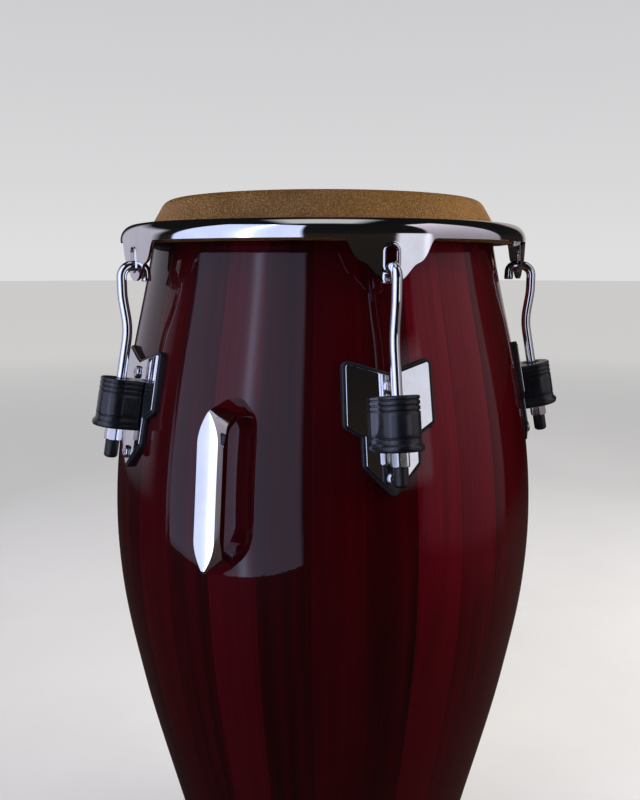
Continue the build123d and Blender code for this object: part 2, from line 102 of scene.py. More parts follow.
def make(name, verts, faces, body, mats, smooth=True, face_mats=None):
    """Mesh object from mm coordinates, riding on a body."""
    me = bpy.data.meshes.new(name)
    me.from_pydata([tuple(np.asarray(v, float) * MM) for v in verts], [], faces)
    me.validate()
    for m in mats:
        me.materials.append(m)
    if face_mats is not None:
        me.polygons.foreach_set("material_index", np.array(face_mats, np.int32))
    me.polygons.foreach_set("use_smooth", np.full(len(me.polygons), smooth))
    me.update()
    o = bpy.data.objects.new(name, me)
    bpy.context.scene.collection.objects.link(o)
    if body:
        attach(o, body)
    return o


def outward(o):
    bm = bmesh.new()
    bm.from_mesh(o.data)
    bmesh.ops.recalc_face_normals(bm, faces=bm.faces)
    bm.to_mesh(o.data)
    bm.free()
    return o


def modified(o, *mods):
    """Adds modifiers given as (type, {settings}) and applies them."""
    for kind, settings in mods:
        m = o.modifiers.new(kind, kind)
        for k, v in settings.items():
            setattr(m, k, v)
    dg = bpy.context.evaluated_depsgraph_get()
    me = bpy.data.meshes.new_from_object(o.evaluated_get(dg))
    me.name = o.name + "_mesh"
    for m in list(o.modifiers):
        o.modifiers.remove(m)
    o.data = me
    return o


def by_angle(o, degrees=32):
    """Smooth shading, with edges sharper than an angle kept sharp."""
    me = o.data
    me.polygons.foreach_set("use_smooth", np.full(len(me.polygons), True))
    bm = bmesh.new()
    bm.from_mesh(me)
    lim = math.radians(degrees)
    for e in bm.edges:
        e.smooth = not (len(e.link_faces) == 2 and e.calc_face_angle(0) > lim)
    bm.to_mesh(me)
    bm.free()
    return o


def loft(rings, closed_ring=True, closed_path=False, cap=(False, False)):
    """Quads between rings of equal length. Returns verts, faces."""
    n, k = len(rings[0]), len(rings)
    verts = [tuple(p) for ring in rings for p in ring]
    faces = []
    for i in range(k if closed_path else k - 1):
        a, b = i * n, ((i + 1) % k) * n
        for j in range(n if closed_ring else n - 1):
            j2 = (j + 1) % n
            faces.append((a + j, a + j2, b + j2, b + j))
    if cap[0]:
        faces.append(tuple(range(n - 1, -1, -1)))
    if cap[1]:
        faces.append(tuple((k - 1) * n + j for j in range(n)))
    return verts, faces


def revolve(name, profile, segs, body, mats, ring_mats=None, shape=None, closed=True):
    """Revolves a closed (r, z) profile about Z. shape(theta, r, z) may change a point."""
    rings = []
    for i in range(segs):
        t = 2 * pi * i / segs
        ring = []
        for r, z in profile:
            if shape:
                r2, z2 = shape(t, r, z)
            else:
                r2, z2 = r, z
            ring.append((r2 * math.cos(t), r2 * math.sin(t), z2))
        rings.append(ring)
    verts, faces = loft(rings, closed_ring=closed, closed_path=True)
    n = len(profile)
    fm = None
    if ring_mats is not None:
        per = n if closed else n - 1
        fm = [ring_mats[j] for _ in range(segs) for j in range(per)]
    return outward(make(name, verts, faces, body, mats, face_mats=fm))


def rounded(points, radius, n=4):
    """Closed 2-D outline with rounded corners. radius: one number or one per corner."""
    out = []
    k = len(points)
    for i in range(k):
        p0, p, p1 = (np.array(points[(i + d) % k], float) for d in (-1, 0, 1))
        a, b = p0 - p, p1 - p
        la, lb = np.linalg.norm(a), np.linalg.norm(b)
        a, b = a / la, b / lb
        ang = math.acos(max(-1, min(1, float(a @ b))))
        r = radius[i] if isinstance(radius, (list, tuple)) else radius
        if r <= 0 or ang > pi - 1e-3:
            out.append(p)
            continue
        d = min(r / math.tan(ang / 2), 0.45 * la, 0.45 * lb)
        r = d * math.tan(ang / 2)
        mid = (a + b) / np.linalg.norm(a + b)
        c = p + mid * (r / math.sin(ang / 2))
        s, e = p + a * d - c, p + b * d - c
        a0, a1 = math.atan2(s[1], s[0]), math.atan2(e[1], e[0])
        da = (a1 - a0 + pi) % (2 * pi) - pi
        for j in range(n + 1):
            t = a0 + da * j / n
            out.append(c + np.array([math.cos(t), math.sin(t)]) * r)
    return [tuple(p) for p in out]


def grown(outline, d):
    """Outline moved out by d along its vertex normals (counter-clockwise outlines grow)."""
    P = np.array(outline, float)
    a = P - np.roll(P, 1, 0)
    b = np.roll(P, -1, 0) - P
    a /= np.linalg.norm(a, axis=1)[:, None] + 1e-12
    b /= np.linalg.norm(b, axis=1)[:, None] + 1e-12
    na = np.stack([a[:, 1], -a[:, 0]], 1)
    nb = np.stack([b[:, 1], -b[:, 0]], 1)
    m = na + nb
    m /= np.maximum((np.sum(m * m, 1) / 2)[:, None], 0.4)
    return P + m * d


def rod_frame():
    """Rod axis frame on the +X side: origin, outwards, sideways, up the rod (mm)."""
    o = np.array([AXIS_R, 0, AXIS_Z])
    return (o, np.array([math.cos(TILT), 0, math.sin(TILT)]), np.array([0, 1.0, 0]),
            np.array([-math.sin(TILT), 0, math.cos(TILT)]))


RO, RX, RY, RZ = rod_frame()


def at_rod(x, y, w):
    return RO + RX * x + RY * y + RZ * w


def fall(u):
    """How far the plate's face drops back at a distance u from its middle line."""
    u = abs(u)
    s, half, g = 9.0, 1.0, 0.0937
    if u <= s - half:
        return 0.0
    if u >= s + half:
        return (u - s) * g
    t = (u - (s - half)) / (2 * half)
    return g * half * t * t


# ------------------------------------------------------------------ materials
def nodes_of(name):
    m = bpy.data.materials.new(name)
    m.use_nodes = True
    nt = m.node_tree
    nt.nodes.clear()
    out = nt.nodes.new("ShaderNodeOutputMaterial")
    b = nt.nodes.new("ShaderNodeBsdfPrincipled")
    nt.links.new(b.outputs[0], out.inputs[0])
    return m, nt, b


class N:
    """Short way to write node trees."""

    def __init__(self, nt):
        self.nt = nt

    def add(self, kind, **props):
        n = self.nt.nodes.new("ShaderNode" + kind)
        for k, v in props.items():
            setattr(n, k, v)
        return n

    def put(self, sock, v):
        if hasattr(v, "is_linked") or hasattr(v, "links"):
            self.nt.links.new(v, sock)
        else:
            sock.default_value = v

    def math(self, op, a, b=0.0, c=0.0, clamp=False):
        n = self.add("Math", operation=op, use_clamp=clamp)
        for s, v in zip(n.inputs, (a, b, c)):
            self.put(s, v)
        return n.outputs[0]

    def coords(self):
        return self.add("TexCoord").outputs["Object"]

    def xyz(self, v):
        n = self.add("SeparateXYZ")
        self.put(n.inputs[0], v)
        return n.outputs

    def vec(self, x, y, z):
        n = self.add("CombineXYZ")
        for s, v in zip(n.inputs, (x, y, z)):
            self.put(s, v)
        return n.outputs[0]

    def scaled(self, v, s):
        n = self.add("VectorMath", operation="MULTIPLY")
        self.put(n.inputs[0], v)
        n.inputs[1].default_value = s
        return n.outputs[0]

    def noise(self, v, scale, detail=3.0, rough=0.55, distort=0.0, out="Fac"):
        n = self.add("TexNoise")
        self.put(n.inputs["Vector"], v)
        n.inputs["Scale"].default_value = scale
        n.inputs["Detail"].default_value = detail
        n.inputs["Roughness"].default_value = rough
        n.inputs["Distortion"].default_value = distort
        return n.outputs[out]

    def voronoi(self, v, scale, feature="F1", rand=1.0):
        n = self.add("TexVoronoi", feature=feature)
        self.put(n.inputs["Vector"], v)
        n.inputs["Scale"].default_value = scale
        n.inputs["Randomness"].default_value = rand
        return n.outputs["Distance"]

    def white(self, x):
        n = self.add("TexWhiteNoise", noise_dimensions="1D")
        self.put(n.inputs["W"], x)
        return n.outputs[0]

    def ramp(self, f, stops, interp="LINEAR"):
        n = self.add("ValToRGB")
        self.put(n.inputs[0], f)
        cr = n.color_ramp
        cr.interpolation = interp
        while len(cr.elements) < len(stops):
            cr.elements.new(0.5)
        for e, (p, c) in zip(cr.elements, stops):
            e.position = p
            e.color = (c, c, c, 1) if isinstance(c, (int, float)) else (*c, 1)
        return n.outputs[0]

    def span(self, f, a, b, c, d):
        n = self.add("MapRange", clamp=True)
        for s, v in zip(n.inputs, (f, a, b, c, d)):
            self.put(s, v)
        return n.outputs[0]

    def mix(self, f, a, b, blend="MIX"):
        n = self.add("Mix", data_type="RGBA", blend_type=blend)
        self.put(n.inputs[0], f)
        for s, v in ((n.inputs[6], a), (n.inputs[7], b)):
            if isinstance(v, tuple):
                v = (*v, 1) if len(v) == 3 else v
            self.put(s, v)
        return n.outputs[2]

    def bump(self, h, strength, distance, normal=None):
        n = self.add("Bump")
        n.inputs["Strength"].default_value = strength
        n.inputs["Distance"].default_value = distance
        self.put(n.inputs["Height"], h)
        if normal is not None:
            self.put(n.inputs["Normal"], normal)
        return n.outputs[0]


def metal(name, color, rough, rough_span, wave=0.0, scratch=0.0, tarnish=0.0):
    m, nt, b = nodes_of(name)
    n = N(nt)
    c = n.coords()
    b.inputs["Metallic"].default_value = 1.0
    cloud = n.noise(c, 55.0, 4.0, 0.6)
    fine = n.noise(c, 900.0, 2.0, 0.5)
    dark = tuple(x * (1 - 0.10 - tarnish) for x in color)
    nt.links.new(n.mix(n.span(cloud, 0.35, 0.7, 0.0, 1.0), color, dark), b.inputs["Base Color"])
    r = n.math("ADD", n.span(cloud, 0.3, 0.75, rough, rough + rough_span), n.math("MULTIPLY", fine, rough_span * 0.35))
    nt.links.new(r, b.inputs["Roughness"])
    normal = None
    if wave:
        normal = n.bump(n.noise(c, 26.0, 1.0, 0.4), wave, 0.0006)
    if scratch:
        s = n.noise(n.scaled(c, (90.0, 90.0, 2600.0)), 1.0, 2.0, 0.5)
        normal = n.bump(s, scratch, 0.00004, normal)
    if normal is not None:
        nt.links.new(normal, b.inputs["Normal"])
    return m


chrome = metal("chrome_plate", (0.86, 0.87, 0.89), 0.03, 0.04, wave=0.22)
chrome_rod = metal("chrome_rod", (0.87, 0.88, 0.90), 0.05, 0.06, wave=0.06)
zinc = metal("zinc_steel", (0.62, 0.63, 0.66), 0.20, 0.18, scratch=0.35, tarnish=0.12)
nut_steel = metal("nut_plate", (0.78, 0.77, 0.76), 0.08, 0.10, scratch=0.18, tarnish=0.05)


def rubber(name, base, rough, grain=0.25):
    m, nt, b = nodes_of(name)
    n = N(nt)
    c = n.coords()
    cloud = n.noise(c, 60.0, 4.0, 0.6)
    nt.links.new(n.mix(n.span(cloud, 0.3, 0.75, 0, 1), tuple(x * 0.7 for x in base), tuple(x * 1.5 for x in base)), b.inputs["Base Color"])
    nt.links.new(n.span(cloud, 0.3, 0.7, rough - 0.06, rough + 0.1), b.inputs["Roughness"])
    b.inputs["Specular IOR Level"].default_value = 0.45
    g = n.noise(c, 2200.0, 2.0, 0.6)
    nt.links.new(n.bump(g, grain, 0.00012), b.inputs["Normal"])
    return m


gasket_mat = rubber("gasket_rubber", (0.012, 0.012, 0.014), 0.42)
cap_mat = rubber("cap_rubber", (0.012, 0.012, 0.013), 0.34, 0.12)
foot_mat = rubber("foot_rubber", (0.016, 0.016, 0.017), 0.55, 0.4)
collar_mat = rubber("collar_satin", (0.010, 0.011, 0.014), 0.27, 0.08)
collar_mat.node_tree.nodes["Principled BSDF"].inputs["Coat Weight"].default_value = 0.3
collar_mat.node_tree.nodes["Principled BSDF"].inputs["Coat Roughness"].default_value = 0.14

STAVE = 12.0


def stave_coords(n):
    """Angle round the drum in staves, place across a stave, height, radius."""
    x, y, z = n.xyz(n.coords())
    ang = n.math("ARCTAN2", x, n.math("MULTIPLY", y, -1.0))       # azimuth, radians
    s = n.math("ADD", n.math("MULTIPLY", ang, 180 / pi / STAVE), 15.5)
    idx = n.math("FLOOR", s)
    across = n.math("SUBTRACT", s, idx)
    rad = n.math("SQRT", n.math("ADD", n.math("MULTIPLY", x, x), n.math("MULTIPLY", y, y)))
    return ang, s, idx, across, z, rad


def lacquer():
    m, nt, b = nodes_of("wine_red_lacquer")
    n = N(nt)
    ang, s, idx, across, z, rad = stave_coords(n)
    tone = n.white(idx)
    tone2 = n.white(n.math("ADD", idx, 71.3))
    shift = n.math("MULTIPLY", tone2, 9.0)
    arc = n.math("MULTIPLY", ang, 0.185)                       # metres round the belly
    # long grain: fine streaks up the stave, wandering a little
    wander = n.noise(n.vec(n.math("ADD", arc, shift), n.math("ADD", shift, 0.0), z), 5.0, 2.0, 0.5)
    g1 = n.noise(n.vec(n.math("MULTIPLY", n.math("ADD", arc, n.math("MULTIPLY", wander, 0.02)), 420.0), shift, n.math("MULTIPLY", z, 7.0)), 1.0, 4.0, 0.6)
    g2 = n.noise(n.vec(n.math("MULTIPLY", arc, 90.0), shift, n.math("MULTIPLY", z, 3.0)), 1.0, 3.0, 0.55)
    pores = n.noise(n.vec(n.math("MULTIPLY", arc, 1900.0), shift, n.math("MULTIPLY", z, 60.0)), 1.0, 2.0, 0.5)
    base = n.ramp(tone, [(0.0, (0.013, 0.0001, 0.0004)), (0.45, (0.021, 0.0001, 0.0006)), (0.8, (0.040, 0.0003, 0.0014)), (1.0, (0.085, 0.0006, 0.0040))])
    # Painted light: the staves round azimuth 49°, turned towards the right-hand lamps, are made brighter red, fully
    # from 0.47 m up and at a third of that from 0.38 m down; how strong it is still varies at random from stave to
    # stave.
    staves_from_lit_side = n.math("DIVIDE", n.math("SUBTRACT", n.math("MULTIPLY", idx, STAVE), 235.0), 14.0)
    painted_lit_staves = n.math("MULTIPLY", n.math("EXPONENT", n.math("MULTIPLY", n.math("MULTIPLY", staves_from_lit_side, staves_from_lit_side), -1.0)), n.span(tone2, 0.0, 1.0, 0.35, 0.85))
    painted_lit_staves = n.math("MULTIPLY", painted_lit_staves, n.span(z, 0.38, 0.47, 0.30, 1.0))
    base = n.mix(painted_lit_staves, base, (0.20, 0.0008, 0.0125))
    light = n.mix(n.span(g2, 0.35, 0.75, 0.0, 0.45), base, (0.095, 0.0006, 0.0035))
    dark = n.mix(n.span(g1, 0.42, 0.72, 0.0, 0.45), light, (0.017, 0.0001, 0.0004))
    pored = n.mix(n.span(pores, 0.62, 0.78, 0.0, 0.45), dark, (0.020, 0.0002, 0.0005))
    # glue lines show a little darker under the lacquer
    edge = n.math("ABSOLUTE", n.math("SUBTRACT", across, 0.5))
    seam = n.span(edge, 0.478, 0.5, 0.0, 0.6)
    nt.links.new(n.mix(seam, pored, (0.022, 0.0002, 0.0006)), b.inputs["Base Color"])
    b.inputs["Roughness"].default_value = 0.48
    b.inputs["Specular IOR Level"].default_value = 0.04
    b.inputs["Coat Weight"].default_value = 1.0
    b.inputs["Coat Roughness"].default_value = 0.022
    b.inputs["Coat IOR"].default_value = 1.38
    # the film follows the wood a little: slow waves across each stave
    slow = n.noise(n.vec(n.math("MULTIPLY", arc, 26.0), shift, n.math("MULTIPLY", z, 5.0)), 1.0, 1.0, 0.4)
    orange = n.noise(n.coords(), 210.0, 1.0, 0.5)
    h = n.math("ADD", n.math("MULTIPLY", slow, 0.8), n.math("MULTIPLY", orange, 0.035))
    film = n.bump(h, 0.30, 0.0012)
    nt.links.new(film, b.inputs["Coat Normal"])
    nt.links.new(n.bump(g1, 0.12, 0.0004), b.inputs["Normal"])
    return m


def raw_wood():
    m, nt, b = nodes_of("raw_stave_wood")
    n = N(nt)
    ang, s, idx, across, z, rad = stave_coords(n)
    tone = n.white(idx)
    shift = n.math("MULTIPLY", n.white(n.math("ADD", idx, 31.7)), 9.0)
    arc = n.math("MULTIPLY", ang, 0.17)
    g1 = n.noise(n.vec(n.math("MULTIPLY", arc, 380.0), shift, n.math("MULTIPLY", z, 8.0)), 1.0, 4.0, 0.6)
    g2 = n.noise(n.vec(n.math("MULTIPLY", arc, 60.0), shift, n.math("MULTIPLY", z, 2.5)), 1.0, 3.0, 0.5)
    base = n.ramp(tone, [(0.0, (0.40, 0.25, 0.13)), (0.5, (0.50, 0.33, 0.18)), (1.0, (0.60, 0.42, 0.25))])
    c1 = n.mix(n.span(g2, 0.35, 0.7, 0, 0.5), base, (0.34, 0.20, 0.10))
    c2 = n.mix(n.span(g1, 0.45, 0.75, 0, 0.55), c1, (0.26, 0.14, 0.07))
    edge = n.math("ABSOLUTE", n.math("SUBTRACT", across, 0.5))
    nt.links.new(n.mix(n.span(edge, 0.475, 0.5, 0, 0.8), c2, (0.12, 0.07, 0.04)), b.inputs["Base Color"])
    nt.links.new(n.span(g1, 0.3, 0.8, 0.55, 0.8), b.inputs["Roughness"])
    nt.links.new(n.bump(g1, 0.4, 0.0004), b.inputs["Normal"])
    return m


def skin_mat():
    m, nt, b = nodes_of("natural_skin")
    n = N(nt)
    c = n.coords()
    x, y, z = n.xyz(c)
    cloud = n.noise(c, 8.0, 4.0, 0.6)
    mottle = n.noise(c, 42.0, 4.0, 0.62)
    pebble = n.voronoi(c, 760.0)
    grain = n.noise(c, 900.0, 2.0, 0.6)
    hair = n.voronoi(c, 390.0)
    side = n.span(z, 0.7085, 0.7025, 0.0, 1.0)
    top = n.ramp(cloud, [(0.25, (0.09, 0.038, 0.006)), (0.5, (0.14, 0.064, 0.012)), (0.75, (0.25, 0.125, 0.026))])
    low = n.ramp(cloud, [(0.25, (0.11, 0.045, 0.009)), (0.5, (0.17, 0.075, 0.015)), (0.75, (0.27, 0.13, 0.028))])
    base = n.mix(side, top, low)
    m1 = n.mix(n.span(mottle, 0.42, 0.70, 0.0, 0.40), base, (0.30, 0.155, 0.055))
    m2 = n.mix(n.span(grain, 0.50, 0.68, 0.0, 0.55), m1, (0.20, 0.095, 0.035))
    m3 = n.mix(n.span(pebble, 0.42, 0.10, 0.0, 0.62), m2, (0.66, 0.42, 0.13))
    m4 = n.mix(n.span(hair, 0.30, 0.16, 0.0, 0.8), m3, (0.085, 0.038, 0.014))
    nt.links.new(m4, b.inputs["Base Color"])
    nt.links.new(n.span(mottle, 0.3, 0.75, 0.30, 0.50), b.inputs["Roughness"])
    b.inputs["Specular IOR Level"].default_value = 0.24
    b.inputs["Subsurface Weight"].default_value = 0.08
    b.inputs["Subsurface Radius"].default_value = (0.004, 0.002, 0.001)
    b.inputs["Subsurface Scale"].default_value = 1.0
    h = n.math("ADD", n.math("MULTIPLY", mottle, 0.5), n.math("ADD", n.math("MULTIPLY", grain, 0.35), n.math("MULTIPLY", pebble, 0.7)))
    nt.links.new(n.bump(h, 0.9, 0.0008), b.inputs["Normal"])
    return m


lacquer_mat, raw_mat, skin = lacquer(), raw_wood(), skin_mat()


def ply_mat():
    m, nt, b = nodes_of("ply_ring")
    n = N(nt)
    c = n.coords()
    x, y, z = n.xyz(c)
    rad = n.math("SQRT", n.math("ADD", n.math("MULTIPLY", x, x), n.math("MULTIPLY", y, y)))
    plies = n.math("FRACT", n.math("MULTIPLY", rad, 1000 / 1.6))
    g = n.noise(n.scaled(c, (60.0, 60.0, 400.0)), 1.0, 4.0, 0.6)
    base = n.mix(n.span(plies, 0.42, 0.58, 0, 1), (0.52, 0.36, 0.20), (0.36, 0.22, 0.11))
    nt.links.new(n.mix(n.span(g, 0.4, 0.7, 0, 0.5), base, (0.28, 0.16, 0.08)), b.inputs["Base Color"])
    nt.links.new(n.span(g, 0.3, 0.7, 0.5, 0.75), b.inputs["Roughness"])
    nt.links.new(n.bump(g, 0.3, 0.0003), b.inputs["Normal"])
    return m


ply = ply_mat()

# ------------------------------------------------------------------ shell
zs = np.concatenate([np.linspace(4.0, 680, 120), np.linspace(682, 691.4, 5)])
outer = [(float(shell_r(z)), float(z)) for z in zs]
top = (BEAR[0] + 9.9 * math.sin(SLANT), BEAR[1] + 9.9 * math.cos(SLANT))
outer.append(((outer[-1][0] + top[0]) / 2, (outer[-1][1] + top[1]) / 2))
for k in range(9):
    a = SLANT + (math.asin(0.6 / 9.9) - SLANT) * k / 8
    outer.append((BEAR[0] + 9.9 * math.sin(a), BEAR[1] + 9.9 * math.cos(a)))
n_out = len(outer)
inner = []
dz = 0.5
for z in np.linspace(692, 4.0, 70):
    r, slope = float(shell_r(z)), float((shell_r(min(z + dz, 691)) - shell_r(max(z - dz, 4.5))) / (2 * dz))
    k = math.hypot(1, slope)
    inner.append((r - 14.0 / k, z + 14.0 * slope / k))
inner = [(134.9, 700.0)] + [p for p in inner if p[1] < 696 and p[1] > 4.6] + [(102.3, 4.0)]
profile = outer + inner
ring_mats = [0] * (n_out - 1) + [1] * (len(profile) - n_out + 1)
SEAM_W = 0.0040


def stave_shape(t, r, z):
    """The lacquered outside sinks a few hundredths at each glue line."""
    az = math.degrees(t) + 90.0
    s = az / STAVE + 0.5
    d = abs(s - round(s)) * math.radians(STAVE) * r           # mm from the seam
    if r > float(shell_r(min(max(z, 4), 691))) - 1.0 and z < 691:
        r -= 0.05 * math.exp(-((d / 0.9) ** 2)) + 0.05 * math.cos(2 * pi * (s - 0.5)) * 0.0
    return r, z


shell = revolve("conga_shell", profile, 720, "shell", [lacquer_mat, raw_mat], ring_mats, stave_shape)
by_angle(shell, 50)
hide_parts("shell_staves")

# ------------------------------------------------------------------ head: one skin, flat top, over the bearing edge, round the hoop
T_TOP, T_SIDE = 2.0, 1.6
o_line, i_line = [], []
cx, cz = BEAR
for r in np.linspace(0.4, 130, 27):
    o_line.append((float(r), 711.0))
for k in range(11):
    a = SLANT * k / 10
    o_line.append((cx + 12.0 * math.sin(a), cz + 12.0 * math.cos(a)))
run = (math.cos(SLANT), -math.sin(SLANT))
out = (math.sin(SLANT), math.cos(SLANT))
start = (cx + 12.0 * out[0], cz + 12.0 * out[1])
length = (HOOP_R - start[0]) * run[0] + (HOOP_Z - start[1]) * run[1]
for k in range(1, 13):
    o_line.append((start[0] + run[0] * length * k / 12, start[1] + run[1] * length * k / 12))
# inside the wrap: the sheet passes the hoop on the shell side, under it and up the outside
a_in = math.atan2(-out[1], -out[0])
wrap_in, wrap_out = [], []
for k in range(1, 24):
    a = a_in + math.radians(232) * k / 23
    wrap_in.append((HOOP_R + (HOOP_T + 0.15) * math.cos(a), HOOP_Z + (HOOP_T + 0.15) * math.sin(a)))
    wrap_out.append((HOOP_R + (TUCK - 0.05) * math.cos(a), HOOP_Z + (TUCK - 0.05) * math.sin(a)))
o_line += wrap_in
tip = [((wrap_in[-1][0] + wrap_out[-1][0]) / 2 - 0.5, (wrap_in[-1][1] + wrap_out[-1][1]) / 2 + 0.7)]
i_line = list(reversed(wrap_out))
for k in range(12, 0, -1):
    f = k / 12
    t = TUCK - 0.05 - (HOOP_T + 0.15)
    t = T_SIDE + (t - T_SIDE) * max(0, (f - 0.75) / 0.25)
    q = (start[0] + run[0] * length * f - out[0] * t, start[1] + run[1] * length * f - out[1] * t)
    i_line.append(q)
for k in range(10, -1, -1):
    a = SLANT * k / 10
    t = T_SIDE + (T_TOP - T_SIDE) * (1 - k / 10)
    i_line.append((cx + (12.0 - t) * math.sin(a), cz + (12.0 - t) * math.cos(a)))
for r in np.linspace(128, 0.4, 18):
    i_line.append((float(r), 709.05))
skin_profile = o_line + tip + i_line
rng = np.random.default_rng(7)
waves = [(int(k), float(a), float(p)) for k, a, p in zip(rng.integers(3, 60, 14), rng.uniform(0.02, 0.10, 14), rng.uniform(0, 6.28, 14))]


def skin_shape(t, r, z):
    """Slight cockle of a mounted skin on the side and the tuck; the top is flat."""
    if r > 146 and z < 702:
        f = min(1.0, (702 - z) / 14)
        d = sum(a * math.sin(k * t + p) for k, a, p in waves)
        r += 0.55 * d * f
        z += 0.35 * d * f * (1 if r > 158 else 0)
    return r, z


head = revolve("head_skin", skin_profile, 480, None, [skin], shape=skin_shape)
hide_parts("head_crown", "head_side")
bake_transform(head)


# ------------------------------------------------------------------ rim: crown, wall and ears as one pressed sheet
EAR = [
    (0, 643.1), (2.4, 643.2), (4.5, 643.7), (8.6, 645.6), (12.1, 649.2), (15.4, 653.0), (18.3, 655.9),
    (24.4, 659.0), (27.8, 663.3), (29.6, 667.3), (31.6, 671.2), (33.6, 673.9), (36.5, 674.6),
]
ear_u = np.array([u for u, _ in EAR])
ear_z = np.array([z for _, z in EAR])


def pchip(xs, ys, x):
    """Smooth monotone curve through points."""
    h = np.diff(xs)
    d = np.diff(ys) / h
    m = np.zeros(len(xs))
    m[1:-1] = np.where(d[:-1] * d[1:] > 0, 2 * d[:-1] * d[1:] / (d[:-1] + d[1:] + 1e-12), 0)
    k = int(np.clip(np.searchsorted(xs, x) - 1, 0, len(xs) - 2))
    t = (x - xs[k]) / h[k]
    return float(
        ys[k] * (1 + 2 * t) * (1 - t) ** 2 + m[k] * h[k] * t * (1 - t) ** 2
        + ys[k + 1] * t * t * (3 - 2 * t) + m[k + 1] * h[k] * t * t * (t - 1)
    )


def wall_bottom(u):
    u = abs(u)
    return RIM_BOTTOM if u >= 36.5 else pchip(ear_u, ear_z, u)


SLOT_LOW, SLOT_TOP, SLOT_W = 650.6, 669.8, 10.0
CREST = [(RIM_IN + 0.0, RIM_TOP), (159.0, RIM_TOP), (163.5, RIM_TOP)]
for k in range(0, 13):
    a = pi / 2 * k / 12
    CREST.append((RIM_R - RIM_BEND + RIM_BEND * math.sin(a), RIM_TOP - RIM_BEND + RIM_BEND * math.cos(a)))
ROWS = 26
WALL_TOP = RIM_TOP - RIM_BEND                                  # 679
PATCH = 10.5                                                   # half-width of the slot patch


def wall_rows(u):
    """Heights of the wall's rows at u, from just under the crown to the sheet's edge."""
    zb = wall_bottom(u)
    return [WALL_TOP + (zb - WALL_TOP) * (k / ROWS) for k in range(1, ROWS + 1)]


def ear_swell(u, z):
    """Pressed shape of an ear (mm outwards): a lip round the slot."""
    mid_l, mid_h = SLOT_LOW + SLOT_W / 2, SLOT_TOP - SLOT_W / 2
    dz_ = max(mid_l - z, 0, z - mid_h)
    d = math.hypot(u, dz_) - SLOT_W / 2                        # distance from the slot's edge
    lip = 0.9 * math.exp(-((max(d, 0) / 1.15) ** 3.0))
    return lip


us = []
for a in LUGS:
    pass
verts, faces = [], []
index = {}


def vert(key, r, u_angle, z):
    if key not in index:
        index[key] = len(verts)
        verts.append((r * math.sin(u_angle), -r * math.cos(u_angle), z))
    return index[key]


# columns: angle list over the whole circle, finer over the ears
cols = []
for n, a in enumerate(LUGS):
    fine = list(np.arange(-38, -PATCH, 1.0)) + [-PATCH]
    k_mid = np.linspace(-PATCH, PATCH, 15)[1:-1]
    ear_cols = fine + list(k_mid) + [-x for x in reversed(fine)]
    for u in ear_cols:
        cols.append((math.radians(a) + u / RIM_R, n, float(u)))
    gap0 = math.radians(a) + 38 / RIM_R
    gap1 = math.radians(a + 72) - 38 / RIM_R
    for k in range(1, 40):
        cols.append((gap0 + (gap1 - gap0) * k / 40, None, 99.0))
C = len(cols)
for i in range(C):
    j = (i + 1) % C
    ti, ni, ui = cols[i]
    tj, nj, uj = cols[j]
    for s in range(len(CREST) - 1):
        q = []
        for (cc, t, row) in ((i, ti, s), (i, ti, s + 1), (j, tj, s + 1), (j, tj, s)):
            r, z = CREST[row]
            q.append(vert(("c", cc, row), r, t, z))
        faces.append(q)
    in_patch = ni is not None and nj == ni and abs(ui) <= PATCH + 1e-6 and abs(uj) <= PATCH + 1e-6
    if in_patch:
        continue
    zi, zj = wall_rows(ui), wall_rows(uj)
    last = len(CREST) - 1

    def wall(cc, t, u, zz, k):
        if k < 0:
            return vert(("c", cc, last), RIM_R, t, CREST[last][1])
        return vert(("w", cc, k), RIM_R + ear_swell(u, zz[k]), t, zz[k])

    for k in range(ROWS):
        faces.append([wall(i, ti, ui, zi, k - 1), wall(i, ti, ui, zi, k), wall(j, tj, uj, zj, k), wall(j, tj, uj, zj, k - 1)])

